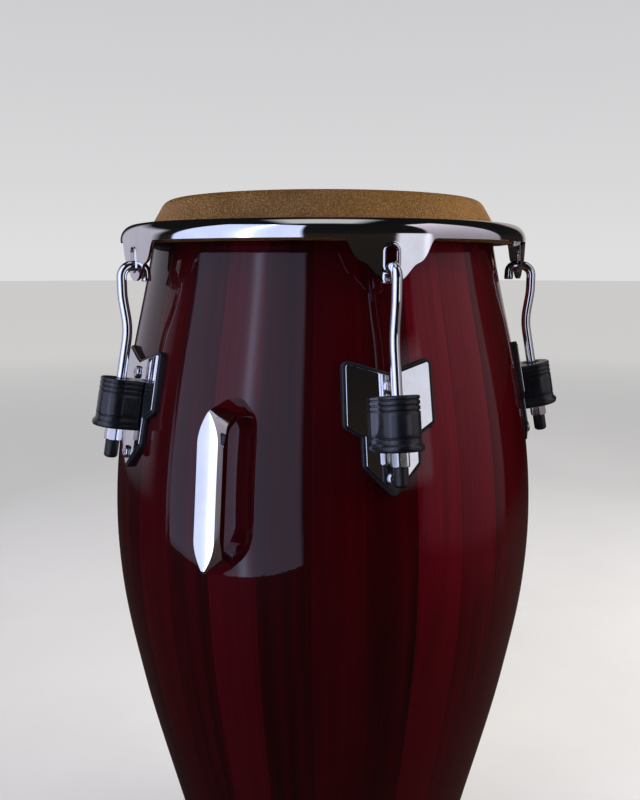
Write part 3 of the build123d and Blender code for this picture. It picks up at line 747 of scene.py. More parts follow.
# slot patches: rings from the patch's border to the slot's edge
LIP = 9
for n, a in enumerate(LUGS):
    mine = [(i, c) for i, c in enumerate(cols) if c[1] == n and abs(c[2]) <= PATCH + 1e-6]
    mine.sort(key=lambda ic: ic[1][2])
    last = len(CREST) - 1
    border = []                                                # (vertex, u, z), clockwise from the top left
    for i, (t, _, u) in mine:
        border.append((vert(("c", i, last), RIM_R, t, CREST[last][1]), u, WALL_TOP))
    i, (t, _, u) = mine[-1]
    rows = wall_rows(u)
    for k in range(ROWS):
        border.append((vert(("w", i, k), RIM_R + ear_swell(u, rows[k]), t, rows[k]), u, rows[k]))
    for i, (t, _, u) in reversed(mine[:-1]):
        zb = wall_bottom(u)
        border.append((vert(("w", i, ROWS - 1), RIM_R + ear_swell(u, zb), t, zb), u, zb))
    i, (t, _, u) = mine[0]
    for k in range(ROWS - 2, -1, -1):
        border.append((vert(("w", i, k), RIM_R + ear_swell(u, rows[k]), t, rows[k]), u, rows[k]))
    M = len(border)
    # matching points on the slot's edge, spread by direction from the slot's middle line
    mid_l, mid_h = SLOT_LOW + SLOT_W / 2, SLOT_TOP - SLOT_W / 2
    nt_, nr_, nb_ = len(mine), ROWS, len(mine) - 1
    per = 2 * (mid_h - mid_l) + pi * SLOT_W
    side, cap_len = mid_h - mid_l, pi * SLOT_W / 2

    def slot_point(f):
        """Point on the slot's edge, f from 0 (left end of the upper cap) clockwise, 0..1."""
        d = (f % 1.0) * per
        R = SLOT_W / 2
        if d < cap_len:
            b = pi - d / R
            return (R * math.cos(b), mid_h + R * math.sin(b))
        d -= cap_len
        if d < side:
            return (R, mid_h - d)
        d -= side
        if d < cap_len:
            b = -d / R
            return (R * math.cos(b), mid_l + R * math.sin(b))
        d -= cap_len
        return (-R, mid_l + d)

    fr = []
    f_cap, f_side = cap_len / per, side / per
    top_n, right_n, bot_n = nt_ - 1, nr_, nt_ - 1
    left_n = M - top_n - right_n - bot_n
    for k in range(M):
        if k <= top_n:
            fr.append(f_cap * (0.12 + 0.76 * k / top_n))
        elif k <= top_n + right_n:
            x = (k - top_n) / right_n
            fr.append(f_cap * 0.88 + (f_side + f_cap * 0.24) * x)
        elif k <= top_n + right_n + bot_n:
            x = (k - top_n - right_n) / bot_n
            fr.append(f_cap + f_side + f_cap * (0.12 + 0.76 * x))
        else:
            x = (k - top_n - right_n - bot_n) / left_n
            fr.append(f_cap + f_side + f_cap * 0.88 + (f_side + f_cap * 0.24) * x)
    prev = [b[0] for b in border]
    for ring in range(1, LIP + 1):
        f = 1 - (1 - ring / LIP) ** 1.7
        cur = []
        for k in range(M):
            _, u0, z0 = border[k]
            u1, z1 = slot_point(fr[k])
            u, z = u0 + (u1 - u0) * f, z0 + (z1 - z0) * f
            cur.append(vert(("p", n, ring, k), RIM_R + ear_swell(u, z), math.radians(a) + u / RIM_R, z))
        for k in range(M):
            k2 = (k + 1) % M
            faces.append([prev[k], prev[k2], cur[k2], cur[k]])
        prev = cur
rim = outward(make("rim_pressing", verts, faces, None, [chrome]))
bm = bmesh.new()
bm.from_mesh(rim.data)
bmesh.ops.recalc_face_normals(bm, faces=bm.faces)
# open sheet: make sure its normals face away from the axis
ref = max(bm.faces, key=lambda f: f.calc_center_median().z)
if ref.normal.z < 0:
    bmesh.ops.reverse_faces(bm, faces=bm.faces)
bm.to_mesh(rim.data)
bm.free()
modified(rim,
         ("SOLIDIFY", {"thickness": RIM_T * MM, "offset": -1.0, "use_even_offset": True}),
         ("BEVEL", {"width": 0.0007, "segments": 3, "limit_method": "ANGLE", "angle_limit": math.radians(50), "harden_normals": False}))
by_angle(rim, 60)
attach(rim, "rim")
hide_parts("rim")


# ------------------------------------------------------------------ swept rods
def sweep(points, radii, segs=28, caps=True, up=(0, 1, 0)):
    """Rings of a round rod along points."""
    P = [np.array(p, float) for p in points]
    rings = []
    for i, p in enumerate(P):
        a, b = P[max(i - 1, 0)], P[min(i + 1, len(P) - 1)]
        t = (b - a) / np.linalg.norm(b - a)
        s = np.array(up, float)
        x = np.cross(s, t)
        x /= np.linalg.norm(x)
        y = np.cross(t, x)
        r = radii[i] if hasattr(radii, "__len__") else radii
        rings.append([p + r * (math.cos(2 * pi * k / segs) * x + math.sin(2 * pi * k / segs) * y) for k in range(segs)])
    return loft(rings, cap=(caps, caps))


def filleted(points, radii, step=1.2):
    """2-D path of straight runs and arcs, sampled."""
    out_ = [np.array(points[0], float)]
    for i in range(1, len(points) - 1):
        p0, p, p1 = (np.array(q, float) for q in points[i - 1: i + 2])
        a, b = (p0 - p) / np.linalg.norm(p0 - p), (p1 - p) / np.linalg.norm(p1 - p)
        ang = math.acos(float(a @ b))
        d = radii[i - 1] / math.tan(ang / 2)
        mid = (a + b) / np.linalg.norm(a + b)
        c = p + mid * (radii[i - 1] / math.sin(ang / 2))
        s, e = p + a * d - c, p + b * d - c
        a0, a1 = math.atan2(s[1], s[0]), math.atan2(e[1], e[0])
        da = (a1 - a0 + pi) % (2 * pi) - pi
        k = max(4, int(abs(da) * radii[i - 1] / step))
        for j in range(k + 1):
            t = a0 + da * j / k
            out_.append(c + np.array([math.cos(t), math.sin(t)]) * radii[i - 1])
    out_.append(np.array(points[-1], float))
    return out_


ROD_END = -61.1
HOOK = [(171.3, 642.6), (171.6, 655.2), (191.6, 654.8), (191.6, 631.0),
        (AXIS_R - 0.1926 * 41, AXIS_Z + 41),
        (AXIS_R + math.sin(TILT) * -ROD_END, AXIS_Z + math.cos(TILT) * ROD_END)]
hook_path = filleted(HOOK, [5.5, 9.3, 60.0, 60.0])
dense = [hook_path[0]]
for p in hook_path[1:]:
    gap = np.linalg.norm(p - dense[-1])
    for k in range(1, int(gap // 6) + 1):
        dense.append(dense[-1] + (p - dense[-1]) * (1 / (int(gap // 6) + 1 - (k - 1))))
    dense.append(p)
hook_path = [(float(p[0]), 0.0, float(p[1])) for p in dense]


def with_round_ends(path, r, fillet=0.8):
    """Adds chamfer rings at both ends of a rod."""
    P = [np.array(p, float) for p in path]
    d0 = (P[1] - P[0]) / np.linalg.norm(P[1] - P[0])
    d1 = (P[-2] - P[-1]) / np.linalg.norm(P[-2] - P[-1])
    head = [P[0], P[0] + d0 * fillet * 0.3, P[0] + d0 * fillet]
    tail = [P[-1] + d1 * fillet, P[-1] + d1 * fillet * 0.3, P[-1]]
    rr = [r - fillet, r - fillet * 0.3, r]
    return head + P[1:-1] + tail, rr + [r] * (len(P) - 2) + rr[::-1]


rod_pts, rod_rad = with_round_ends(hook_path, 4.0)
rod_v, rod_f = sweep(rod_pts, rod_rad, 32)

# ------------------------------------------------------------------ plates
PLATE_HALF = [(0, 16.0), (32.0, 26.2), (33.0, -18.6), (20.0, -26.7), (20.0, -48.1), (0, -69.5)]
outline = PLATE_HALF + [(-u, w) for u, w in PLATE_HALF[-2:0:-1]]
outline = outline[::-1]                                        # counter-clockwise, seen from the front
area = sum(a[0] * b[1] - b[0] * a[1] for a, b in zip(outline, outline[1:] + outline[:1]))
if area < 0:
    outline = outline[::-1]


def plate_mesh(name, body, az):
    """Bent sheet with rounded edges."""
    bm_ = bmesh.new()
    pts = rounded(outline, 2.0, 5)
    f = bm_.faces.new([bm_.verts.new((u, w, 0)) for u, w in pts])
    for s in (-10.0, -9.5, -9.0, -8.5, -8.0, 8.0, 8.5, 9.0, 9.5, 10.0):
        bmesh.ops.bisect_plane(bm_, geom=bm_.verts[:] + bm_.edges[:] + bm_.faces[:], plane_co=(s, 0, 0), plane_no=(1, 0, 0))
    for v in bm_.verts:
        u, w = v.co.x, v.co.y
        v.co = Vector(at_rod(FACE - fall(u), u, w)) * MM
    bmesh.ops.recalc_face_normals(bm_, faces=bm_.faces)
    ref_ = bm_.faces[:][0]
    if ref_.normal.x < 0:
        bmesh.ops.reverse_faces(bm_, faces=bm_.faces)
    me = bpy.data.meshes.new(name)
    bm_.to_mesh(me)
    bm_.free()
    me.materials.append(chrome)
    o = bpy.data.objects.new(name, me)
    bpy.context.scene.collection.objects.link(o)
    modified(o,
             ("SOLIDIFY", {"thickness": 2.0 * MM, "offset": -1.0, "use_even_offset": True}),
             ("BEVEL", {"width": 0.0006, "segments": 3, "limit_method": "ANGLE", "angle_limit": math.radians(40)}))
    by_angle(o, 35)
    modified(o, ("WEIGHTED_NORMAL", {"mode": "FACE_AREA", "weight": 100, "keep_sharp": True}))
    o.data.transform(turn(az))
    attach(o, body)
    return o


def gasket_rings():
    pts = rounded(outline, 2.0, 5)
    rows = [  # growth of the outline, place of the surface
        (0.12, -2.06), (0.12, -1.5), (0.35, -0.95), (0.95, -0.62), (1.6, -0.62),
        (2.15, -0.9), (2.5, -1.5), (2.6, -2.3),
    ]
    rings = []
    for d, lift in rows:
        g = grown(pts, d)
        rings.append([at_rod(FACE + lift - fall(u), u, w) for u, w in g])
    for d in (2.6,):
        g = grown(pts, d)
        ring = []
        for u, w in g:
            # down to the shell, along the screw direction
            lo_, hi_ = -40.0, FACE - 2.0
            for _ in range(24):
                m_ = (lo_ + hi_) / 2
                q = at_rod(m_, u, w)
                if math.hypot(q[0], q[1]) > float(shell_r(q[2])) + 0.08:
                    hi_ = m_
                else:
                    lo_ = m_
            ring.append(at_rod(hi_, u, w))
        rings.append(ring)
    return rings


g_rings = gasket_rings()
g_v, g_f = loft(g_rings, cap=(True, True))


# ------------------------------------------------------------------ collar
def d_ring(R, half, w, n_arc=30, n_side=5, back=FACE + 0.1):
    """D section of the sleeve: straight sides, round front, at height w."""
    pts = []
    for k in range(n_side):
        pts.append((back + (0 - back) * k / n_side, -half))
    for k in range(n_arc + 1):
        a = -pi / 2 + pi * k / n_arc
        pts.append((R * math.cos(a), half * math.sin(a)))
    for k in range(1, n_side + 1):
        pts.append((0 + back * k / n_side, half))
    for k in range(1, 8):
        pts.append((back, half - 2 * half * k / 8))
    return [at_rod(x, y, w) for x, y in pts]


def collar_rows():
    """(height on the rod axis, outline growth) down the sleeve."""
    rows = [(1.5, -2.2), (1.42, -1.2), (1.15, -0.45), (0.6, 0.0)]
    for low in (-1.2, -5.0, -8.8, -28.0):
        rows += [(low + 0.35, 0.0), (low, -0.22), (low - 0.25, -0.78), (low - 0.55, -0.9), (low - 0.85, -0.78), (low - 1.1, -0.22), (low - 1.45, 0.0)]
    rows += [(-31.6, 0.0), (-32.1, 0.25), (-33.2, 1.15), (-34.3, 1.95), (-34.75, 2.1), (-35.3, 2.1), (-36.4, 1.85), (-37.3, 1.6), (-37.8, 1.25), (-38.0, 0.7)]
    rows.sort(key=lambda r: -r[0])
    out_ = []
    for a, b in zip(rows, rows[1:]):
        out_.append(a)
        k = int((a[0] - b[0]) // 3)
        for j in range(1, k + 1):
            out_.append((a[0] + (b[0] - a[0]) * j / (k + 1), a[1] + (b[1] - a[1]) * j / (k + 1)))
    out_.append(rows[-1])
    return out_


def collar_geometry():
    rings = [d_ring(16.0 + g, 16.0 + g * 0.93, w) for w, g in collar_rows()]
    n_ = len(rings[0])

    def hole(radius, w):
        # points matched to the outline by direction
        ring = []
        for p in rings[0]:
            q = np.array(p) - RO
            x, y = float(q @ RX), float(q @ RY)
            a = math.atan2(y, x)
            ring.append(at_rod(radius * math.cos(a), radius * math.sin(a), w))
        return ring

    top_in = [hole(8.2, 1.5), hole(7.6, 1.35), hole(7.2, 0.9), hole(6.0, 0.8), hole(5.3, 0.75), hole(5.1, 0.3)]
    low_in = [hole(5.1, -35.6), hole(5.3, -35.9), hole(9.2, -36.0), hole(11.6, -36.2), hole(12.2, -36.7), hole(12.5, -37.95)]
    path = top_in[::-1] + rings + low_in[::-1]
    return loft(path, closed_path=True)


c_v, c_f = collar_geometry()


# ------------------------------------------------------------------ nut, washers, cap, screws
def hex_nut(R_flat, w_hi, w_lo, bore, segs=72, place=at_rod, cham=0.75):
    """Hex prism with turned corners and a bore."""
    rc = R_flat / math.cos(pi / 6)

    def ring(w, lim):
        out_ = []
        for k in range(segs):
            a = 2 * pi * k / segs
            m_ = (a + pi / 6) % (pi / 3) - pi / 6
            r = R_flat / math.cos(m_)
            out_.append(place(min(r, lim) * math.cos(a), min(r, lim) * math.sin(a), w))
        return out_

    def circ(w, r):
        return [place(r * math.cos(2 * pi * k / segs), r * math.sin(2 * pi * k / segs), w) for k in range(segs)]

    rows = [circ(w_hi, bore + 0.5), circ(w_hi, R_flat - 0.35), circ(w_hi - 0.12, R_flat - 0.05)]
    for k in range(1, 5):
        f = k / 4
        rows.append(ring(w_hi - 0.12 - cham * f, R_flat - 0.05 + (rc - 0.12 - R_flat) * f))
    rows.append(ring((w_hi + w_lo) / 2, rc - 0.12))
    for k in range(4, 0, -1):
        f = k / 4
        rows.append(ring(w_lo + 0.12 + cham * f, R_flat - 0.05 + (rc - 0.12 - R_flat) * f))
    rows += [circ(w_lo + 0.12, R_flat - 0.05), circ(w_lo, R_flat - 0.35), circ(w_lo, bore + 0.5), circ(w_lo + 0.5, bore)]
    rows.append(circ((w_hi + w_lo) / 2, bore))
    rows.append(circ(w_hi - 0.5, bore))
    return loft(rows, closed_path=True)


def lathe(rows, segs=40, place=at_rod, closed_path=False, caps=(True, True)):
    """Turned part on the rod axis: rows of (radius, height)."""
    rings = [[place(r * math.cos(2 * pi * k / segs), r * math.sin(2 * pi * k / segs), w) for k in range(segs)] for r, w in rows]
    return loft(rings, closed_path=closed_path, cap=caps if not closed_path else (False, False))


nut_v, nut_f = hex_nut(6.5, -37.95, -48.9, 4.05)
wash_v, wash_f = lathe([(4.7, -36.1), (8.2, -36.1), (8.42, -36.25), (8.5, -36.5), (8.5, -37.2), (8.42, -37.5), (8.2, -37.65), (4.9, -37.65), (4.6, -37.4), (4.6, -36.35)], 56, closed_path=True)
cap_rows = [(4.1, -49.9), (4.25, -49.4), (4.6, -49.2), (5.1, -49.22), (5.4, -49.5), (5.5, -49.9)]
for k in range(5):
    cap_rows.append((5.5 - 0.05 * k / 4, -50.5 - 10.0 * k / 4))
for k in range(1, 10):
    a = pi / 2 * k / 9
    cap_rows.append((2.5 + 3.0 * math.cos(a), -60.9 - 2.8 * math.sin(a)))
cap_rows += [(1.2, -63.7), (0.05, -63.7)]
cap_v, cap_f = lathe([(4.1, -56.0)] + cap_rows, 40, caps=(False, True))

SCREWS = (7.9, -58.3)


def screw_geometry():
    """Pan head with a cross recess, seen above the plate, and its shank."""
    V, F = [], []
    segs = 64
    for w0 in SCREWS:
        def place(x, y, h, w0=w0):
            return at_rod(FACE + 0.05 + h, y, w0 + x)

        def cross(a, r):
            """Depth of the driver's recess at a polar place on the head."""
            x, y = r * math.cos(a), r * math.sin(a)
            best = 0.0
            for p, q in ((x, y), (y, x)):
                arm = max(0.0, 1 - max(0, abs(q) - 0.42) / 0.28) if abs(q) < 0.70 else 0.0
                end_ = max(0.0, 1 - max(0, abs(p) - 1.9) / 0.7) if abs(p) < 2.6 else 0.0
                best = max(best, arm * end_)
            return best

        rows = []
        for r in np.linspace(0.02, 3.2, 22):
            ring = []
            for k in range(segs):
                a = 2 * pi * k / segs
                h = 3.0 - 0.35 * (r / 5.4) ** 2 - 1.35 * cross(a, r)
                ring.append(place(r * math.cos(a), r * math.sin(a), h))
            rows.append(ring)
        for r, h in [(3.8, 2.83), (4.3, 2.66), (4.75, 2.36), (5.1, 1.9), (5.3, 1.3), (5.38, 0.7), (5.4, 0.15), (5.3, 0.0), (3.0, 0.0), (2.9, -0.3), (2.9, -26.6), (2.5, -27.0), (0.02, -27.0)]:
            rows.append([place(r * math.cos(2 * pi * k / segs), r * math.sin(2 * pi * k / segs), h) for k in range(segs)])
        v_, f_ = loft(rows, cap=(True, True))
        F += [tuple(i + len(V) for i in face) for face in f_]
        V += v_
    return V, F


s_v, s_f = screw_geometry()


def placed(verts_, az):
    m_ = np.array(turn(az))[:3, :3]
    return [m_ @ np.asarray(v, float) for v in verts_]


screw_V, screw_F, wash_V, wash_F = [], [], [], []
for k, az in enumerate(LUGS, 1):
    rod = outward(make(f"hook_{k}", placed(rod_v, az), rod_f, f"hook_{k}", [chrome_rod]))
    by_angle(rod, 50)
    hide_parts(f"hook_rod_{k}")
    cap = outward(make(f"cap_{k}", placed(cap_v, az), cap_f, f"hook_{k}", [cap_mat]))
    by_angle(cap, 50)
    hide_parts(f"rod_cap_{k}")
    nut = outward(make(f"nut_{k}", placed(nut_v, az), nut_f, f"nut_{k}", [nut_steel]))
    by_angle(nut, 22)
    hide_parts(f"tuning_nut_{k}")
    plate = plate_mesh(f"plate_{k}", "shell", az)
    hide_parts(f"side_plate_{k}")
    gas = outward(make(f"gasket_{k}", placed(g_v, az), g_f, "shell", [gasket_mat]))
    by_angle(gas, 50)
    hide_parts(f"plate_gasket_{k}")
    col = outward(make(f"collar_{k}", placed(c_v, az), c_f, "shell", [collar_mat]))
    by_angle(col, 42)
    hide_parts(f"lug_collar_{k}")
    screw_F += [tuple(i + len(screw_V) for i in f) for f in s_f]
    screw_V += placed(s_v, az)
    wash_F += [tuple(i + len(wash_V) for i in f) for f in wash_f]
    wash_V += placed(wash_v, az)
screws = outward(make("screws_front", screw_V, screw_F, "shell", [nut_steel]))
by_angle(screws, 40)
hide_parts("plate_screws")
washers = outward(make("washers_under_collars", wash_V, wash_F, "shell", [nut_steel]))
by_angle(washers, 40)
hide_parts("lug_washers")

# ------------------------------------------------------------------ handle
H_TILT = math.radians(7.75)
H_R, H_Z = 189.7, 496.8
FACE_X, BACK_X, HALF_W, H_SIDE = 39.8, 27.2, 9.75, 0.0


def at_grip(x, y, w):
    return (np.array([H_R, 0, H_Z]) + x * np.array([math.cos(H_TILT), 0, math.sin(H_TILT)])
            + y * np.array([0, 1.0, 0]) + w * np.array([-math.sin(H_TILT), 0, math.cos(H_TILT)]))


def resampled(points, ts):
    """Points of a polyline at shares ts of its length."""
    P = np.array(points, float)
    d = np.concatenate([[0], np.cumsum(np.linalg.norm(np.diff(P, axis=0), axis=1))])
    d /= d[-1]
    return np.stack([np.interp(ts, d, P[:, 0]), np.interp(ts, d, P[:, 1])], 1)


def smooth(x):
    x = min(1.0, max(0.0, x))
    return x * x * (3 - 2 * x)


def half_contours():
    """Upper half of the handle from its middle to the shell: outer and inner line, station by station."""
    outer_line = filleted([(FACE_X - 0.05, 0), (FACE_X - 0.05, 56.9), (12, 63.95), (-3, 63.95)], [3.0, 9.0], step=0.35)
    inner_line = filleted([(BACK_X, 0), (BACK_X, 41), (12, 50.05), (-3, 50.05)], [8.0, 7.0], step=0.6)
    # paired stations: along the bar, round the corner, along the arm
    k1, k2, k3 = 34, 26, 12
    cut_o = [0.0, 54.2, 64.5]
    P = np.array(outer_line, float)
    d = np.concatenate([[0], np.cumsum(np.linalg.norm(np.diff(P, axis=0), axis=1))])
    Q = np.array(inner_line, float)
    e = np.concatenate([[0], np.cumsum(np.linalg.norm(np.diff(Q, axis=0), axis=1))])
    so = np.concatenate([np.linspace(0, 52.0, k1, endpoint=False), np.linspace(52.0, 72.0, k2, endpoint=False), np.linspace(72.0, d[-1], k3)])
    si = np.concatenate([np.linspace(0, 36.0, k1, endpoint=False), np.linspace(36.0, 56.0, k2, endpoint=False), np.linspace(56.0, e[-1], k3)])
    o = np.stack([np.interp(so, d, P[:, 0]), np.interp(so, d, P[:, 1])], 1)
    i = np.stack([np.interp(si, e, Q[:, 0]), np.interp(si, e, Q[:, 1])], 1)
    return o, i, so


def bar_rings():
    o, i, so = half_contours()
    stations = [(o[k] * (1, -1), i[k] * (1, -1), so[k]) for k in range(len(o) - 1, 0, -1)] + [(o[k], i[k], so[k]) for k in range(len(o))]
    rings = []
    for po, pi_, sv in stations:
        # the flat front is widest in the middle and runs out to a point at the tip
        t = min(1.0, max(0.0, (sv - 33.5) / 23.1))
        a = 7.95 * (1 - t ** 1.85) + 0.10
        h = 0.64 - 0.30 * smooth((sv - 32.0) / 25.0)            # where the bevel meets the side, share of the thickness
        W = HALF_W
        sec = [(a, 1.0), (W, h), (W, 0.10), (W - 1.3, 0.0), (-W + 1.3, 0.0), (-W, 0.10), (-W, h), (-a, 1.0)]
        th = np.linalg.norm(po - pi_)
        sec = [(u, f * th) for u, f in sec]
        sec = rounded(sec, [0.30, 0.8, 0.7, 0.7, 0.7, 0.7, 0.8, 0.30], 3)
        rings.append([at_grip(*((pi_ + (po - pi_) * (f / th))[:1]), u, (pi_ + (po - pi_) * (f / th))[1]) for u, f in sec])
    return rings


h_v, h_f = loft(bar_rings(), cap=(True, True))
handle = outward(make("handle", placed(h_v, 0), h_f, "shell", [chrome]))
by_angle(handle, 26)
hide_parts("handle_bow")


# ------------------------------------------------------------------ carried-over frame parts
for node, mat in {
    "top_ring": ply, "bottom_ring": ply, "base_foot": foot_mat, "flesh_hoop": zinc,
    "handle_screws": zinc, "handle_washers": zinc, "plate_washers": zinc, "plate_nuts": zinc,
    **{f"lug_bracket_{k}": zinc for k in range(1, 6)},
}.items():
    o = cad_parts[node]
    for s in o.material_slots:
        s.material = mat

# ------------------------------------------------------------------ floor, light, camera
VIEW_AZ = 20.5


def floor_mat():
    """Pale floor; reflections see it darker, as in a studio with the light kept off the floor."""
    m, nt, b = nodes_of("pale_floor")
    n = N(nt)
    c = n.coords()
    f = n.noise(c, 3.0, 4.0, 0.6)
    nt.links.new(n.mix(n.span(f, 0.3, 0.7, 0, 1), (0.60, 0.595, 0.59), (0.66, 0.655, 0.65)), b.inputs["Base Color"])
    b.inputs["Roughness"].default_value = 0.75
    b.inputs["Specular IOR Level"].default_value = 0.2
    b.inputs["Emission Color"].default_value = (1.0, 0.99, 0.98, 1)
    fx, fy, _ = n.xyz(c)
    far = n.math("SQRT", n.math("ADD", n.math("MULTIPLY", fx, fx), n.math("MULTIPLY", fy, fy)))
    nt.links.new(n.span(far, 0.6, 5.0, 0.30, 0.60), b.inputs["Emission Strength"])
    dark = n.add("BsdfDiffuse")
    dark.inputs[0].default_value = (0.05, 0.038, 0.035, 1)
    mix = n.add("MixShader")
    ray = n.add("LightPath")
    nt.links.new(ray.outputs["Is Camera Ray"], mix.inputs[0])
    nt.links.new(dark.outputs[0], mix.inputs[1])
    nt.links.new(b.outputs[0], mix.inputs[2])
    nt.links.new(mix.outputs[0], [x for x in nt.nodes if x.type == "OUTPUT_MATERIAL"][0].inputs[0])
    return m


me = bpy.data.meshes.new("floor")
k = 64
R_F = 30.0
me.from_pydata([(R_F * math.cos(2 * pi * i / k), R_F * math.sin(2 * pi * i / k), 0) for i in range(k)], [], [list(range(k))])
floor = bpy.data.objects.new("floor", me)
bpy.context.scene.collection.objects.link(floor)
me.materials.append(floor_mat())


def direction(az, el=0.0):
    a, e = math.radians(az), math.radians(el)
    return Vector((math.sin(a) * math.cos(e), -math.cos(a) * math.cos(e), math.sin(e)))


def panel(name, az, dist, z, w, h, level, color=(1, 1, 1), aim_z=None, glossy=True):
    """Soft panel aimed at the axis; level is its brightness."""
    L = bpy.data.lights.new(name, "AREA")
    L.shape = "RECTANGLE"
    L.size, L.size_y = w, h
    L.energy = level * pi * w * h
    L.color = color
    o = bpy.data.objects.new(name, L)
    bpy.context.scene.collection.objects.link(o)
    o.location = direction(az) * dist + Vector((0, 0, z))
    aim = Vector((0, 0, z if aim_z is None else aim_z))
    o.rotation_mode = "QUATERNION"
    o.rotation_quaternion = (aim - o.location).to_track_quat("-Z", "Y")
    o.visible_camera = False
    o.visible_glossy = glossy
    return o


def card(name, corners, level, color, soft=0.08, hot=None, lift=0.0):
    """Soft glowing panel between four corners given as (azimuth, distance, height), feathered at its edges.
    Corners: low left, low right, high right, high left, seen from the axis. hot: (place, width, extra) across it."""
    c = [direction(az) * d + Vector((0, 0, z)) for az, d, z in corners]
    g = 14
    verts_, faces_ = [], []
    for j in range(g + 1):
        for i in range(g + 1):
            u, v = i / g, j / g
            verts_.append(c[0] * (1 - u) * (1 - v) + c[1] * u * (1 - v) + c[2] * u * v + c[3] * (1 - u) * v)
    for j in range(g):
        for i in range(g):
            k_ = j * (g + 1) + i
            faces_.append((k_, k_ + 1, k_ + g + 2, k_ + g + 1))
    me_ = bpy.data.meshes.new(name)
    me_.from_pydata([tuple(v) for v in verts_], [], faces_)
    uv = me_.uv_layers.new(name="UVMap")
    for lp in me_.loops:
        i, j = lp.vertex_index % (g + 1), lp.vertex_index // (g + 1)
        uv.data[lp.index].uv = (i / g, j / g)
    m = bpy.data.materials.new(name)
    m.use_nodes = True
    nt_ = m.node_tree
    nt_.nodes.clear()
    q = N(nt_)
    u_, v_, _ = q.xyz(q.add("TexCoord").outputs["UV"])

    def feather(t_):
        d = q.math("SUBTRACT", 0.5, q.math("ABSOLUTE", q.math("SUBTRACT", t_, 0.5)))
        return q.span(d, 0.0, soft, 0.0, 1.0)

    e = q.math("MULTIPLY", feather(u_), feather(v_))
    if hot:
        for width, gain in ((hot[1], hot[2]), (hot[1] * 3.0, hot[2] * 0.25)):
            d = q.math("MULTIPLY", q.math("SUBTRACT", u_, hot[0]), 1 / width)
            e2 = q.math("MULTIPLY", q.math("EXPONENT", q.math("MULTIPLY", q.math("MULTIPLY", d, d), -1.0)), gain)
            e = q.math("MULTIPLY", e, q.math("ADD", 1.0, e2))
    if lift:
        e = q.math("MULTIPLY", e, q.span(v_, 0.0, 1.0, 1.0 - lift, 1.0 + lift))
    em = q.add("Emission")
    em.inputs[0].default_value = (*color, 1)
    q.put(em.inputs[1], q.math("MULTIPLY", e, level))
    o_ = q.add("OutputMaterial")
    tr, ad = q.add("BsdfTransparent"), q.add("AddShader")
    nt_.links.new(em.outputs[0], ad.inputs[0])
    nt_.links.new(tr.outputs[0], ad.inputs[1])
    nt_.links.new(ad.outputs[0], o_.inputs[0])
    me_.materials.append(m)
    o = bpy.data.objects.new(name, me_)
    bpy.context.scene.collection.objects.link(o)
    o.visible_camera = False
    o.visible_shadow = False
    return o


V = VIEW_AZ
card("softbox_left", [(V - 82, 1.55, -0.05), (V - 8, 1.50, -0.15), (V - 12, 1.45, 2.9), (V - 84, 1.50, 3.0)], 0.95, (0.80, 0.88, 1.28), soft=0.035, hot=(0.60, 0.030, 1.5))
card("softbox_right", [(V + 45, 1.45, 0.05), (V + 106, 1.50, 0.02), (V + 104, 1.45, 2.9), (V + 66, 1.45, 2.9)], 0.50, (0.97, 0.86, 0.98), soft=0.04, lift=0.75)
card("softbox_right_low", [(V + 34, 1.45, 0.40), (V + 56, 1.45, 0.40), (V + 56, 1.45, 1.02), (V + 36, 1.45, 1.02)], 0.80, (0.93, 0.93, 1.05), soft=0.12)
card("softbox_back", [(V - 148, 1.7, 0.2), (V - 92, 1.6, 0.15), (V - 92, 1.6, 1.55), (V - 148, 1.7, 1.55)], 0.50, (0.93, 0.90, 1.06), soft=0.15)
card("softbox_back_right", [(V + 140, 1.8, 0.3), (V + 178, 1.8, 0.3), (V + 178, 1.8, 1.5), (V + 140, 1.8, 1.5)], 0.40, (1.0, 0.93, 0.88), soft=0.2)
card("ceiling", [(V - 35, 0.75, 2.1), (V + 35, 0.75, 2.1), (V + 145, 0.75, 2.1), (V - 145, 0.75, 2.1)], 0.55, (1.0, 1.0, 1.0), soft=0.2)
panel("fill_left", VIEW_AZ - 60, 1.5, 1.5, 1.6, 1.6, 0.16, (1, 0.95, 0.88), aim_z=0.7, glossy=False)
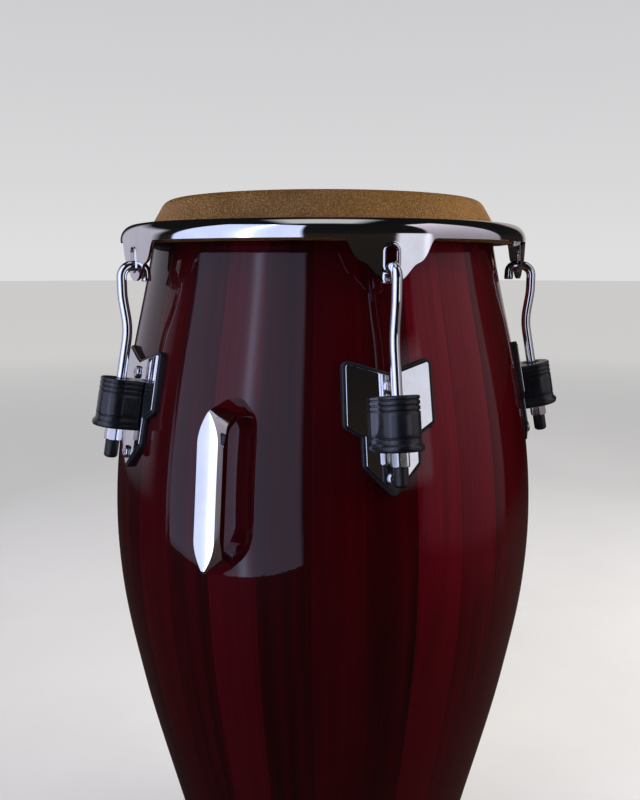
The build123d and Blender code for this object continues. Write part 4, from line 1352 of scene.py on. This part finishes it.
panel("fill_right", VIEW_AZ + 88, 1.5, 1.1, 1.4, 1.4, 5.0, (1, 0.96, 0.92), aim_z=0.55, glossy=False)
panel("skin_side", VIEW_AZ - 98, 0.9, 1.05, 0.4, 0.4, 8.0, (1, 0.86, 0.60), aim_z=0.70, glossy=False)
panel("overhead", VIEW_AZ + 180, 1.2, 2.4, 1.6, 1.6, 0.22, (1, 1, 1), aim_z=0.5, glossy=False)

world = bpy.data.worlds.new("studio")
bpy.context.scene.world = world
world.use_nodes = True
nt = world.node_tree
nt.nodes.clear()
n = N(nt)
wo = n.add("OutputWorld")
seen, lit, mixw = n.add("Background"), n.add("Background"), n.add("MixShader")
g = n.add("TexCoord").outputs["Generated"]
x, y, z = n.xyz(g)
nt.links.new(n.ramp(z, [(0.0, (0.74, 0.74, 0.745)), (0.12, (0.68, 0.68, 0.69)), (0.6, (0.50, 0.50, 0.515)), (1.0, (0.42, 0.42, 0.43))]), seen.inputs[0])
seen.inputs[1].default_value = 1.0
nt.links.new(n.ramp(z, [(0.0, (0.014, 0.011, 0.010)), (0.06, (0.020, 0.015, 0.012)), (0.25, (0.009, 0.008, 0.008)), (1.0, (0.006, 0.006, 0.007))]), lit.inputs[0])
lit.inputs[1].default_value = 1.0
nt.links.new(n.add("LightPath").outputs["Is Camera Ray"], mixw.inputs[0])
nt.links.new(lit.outputs[0], mixw.inputs[1])
nt.links.new(seen.outputs[0], mixw.inputs[2])
nt.links.new(mixw.outputs[0], wo.inputs[0])

cam = bpy.data.cameras.new("camera")
cam.lens = 749 / 800 * 36
cam.sensor_width = 36
co = bpy.data.objects.new("camera", cam)
bpy.context.scene.collection.objects.link(co)
co.location = direction(VIEW_AZ) * 0.7075 + Vector((0, 0, 0.657))
co.rotation_mode = "XYZ"
co.rotation_euler = (math.radians(90 - 10.35), 0, math.radians(VIEW_AZ + 0.214))
cam.clip_start, cam.clip_end = 0.01, 100
bpy.context.scene.camera = co
bpy.context.scene.view_settings.view_transform = "Standard"
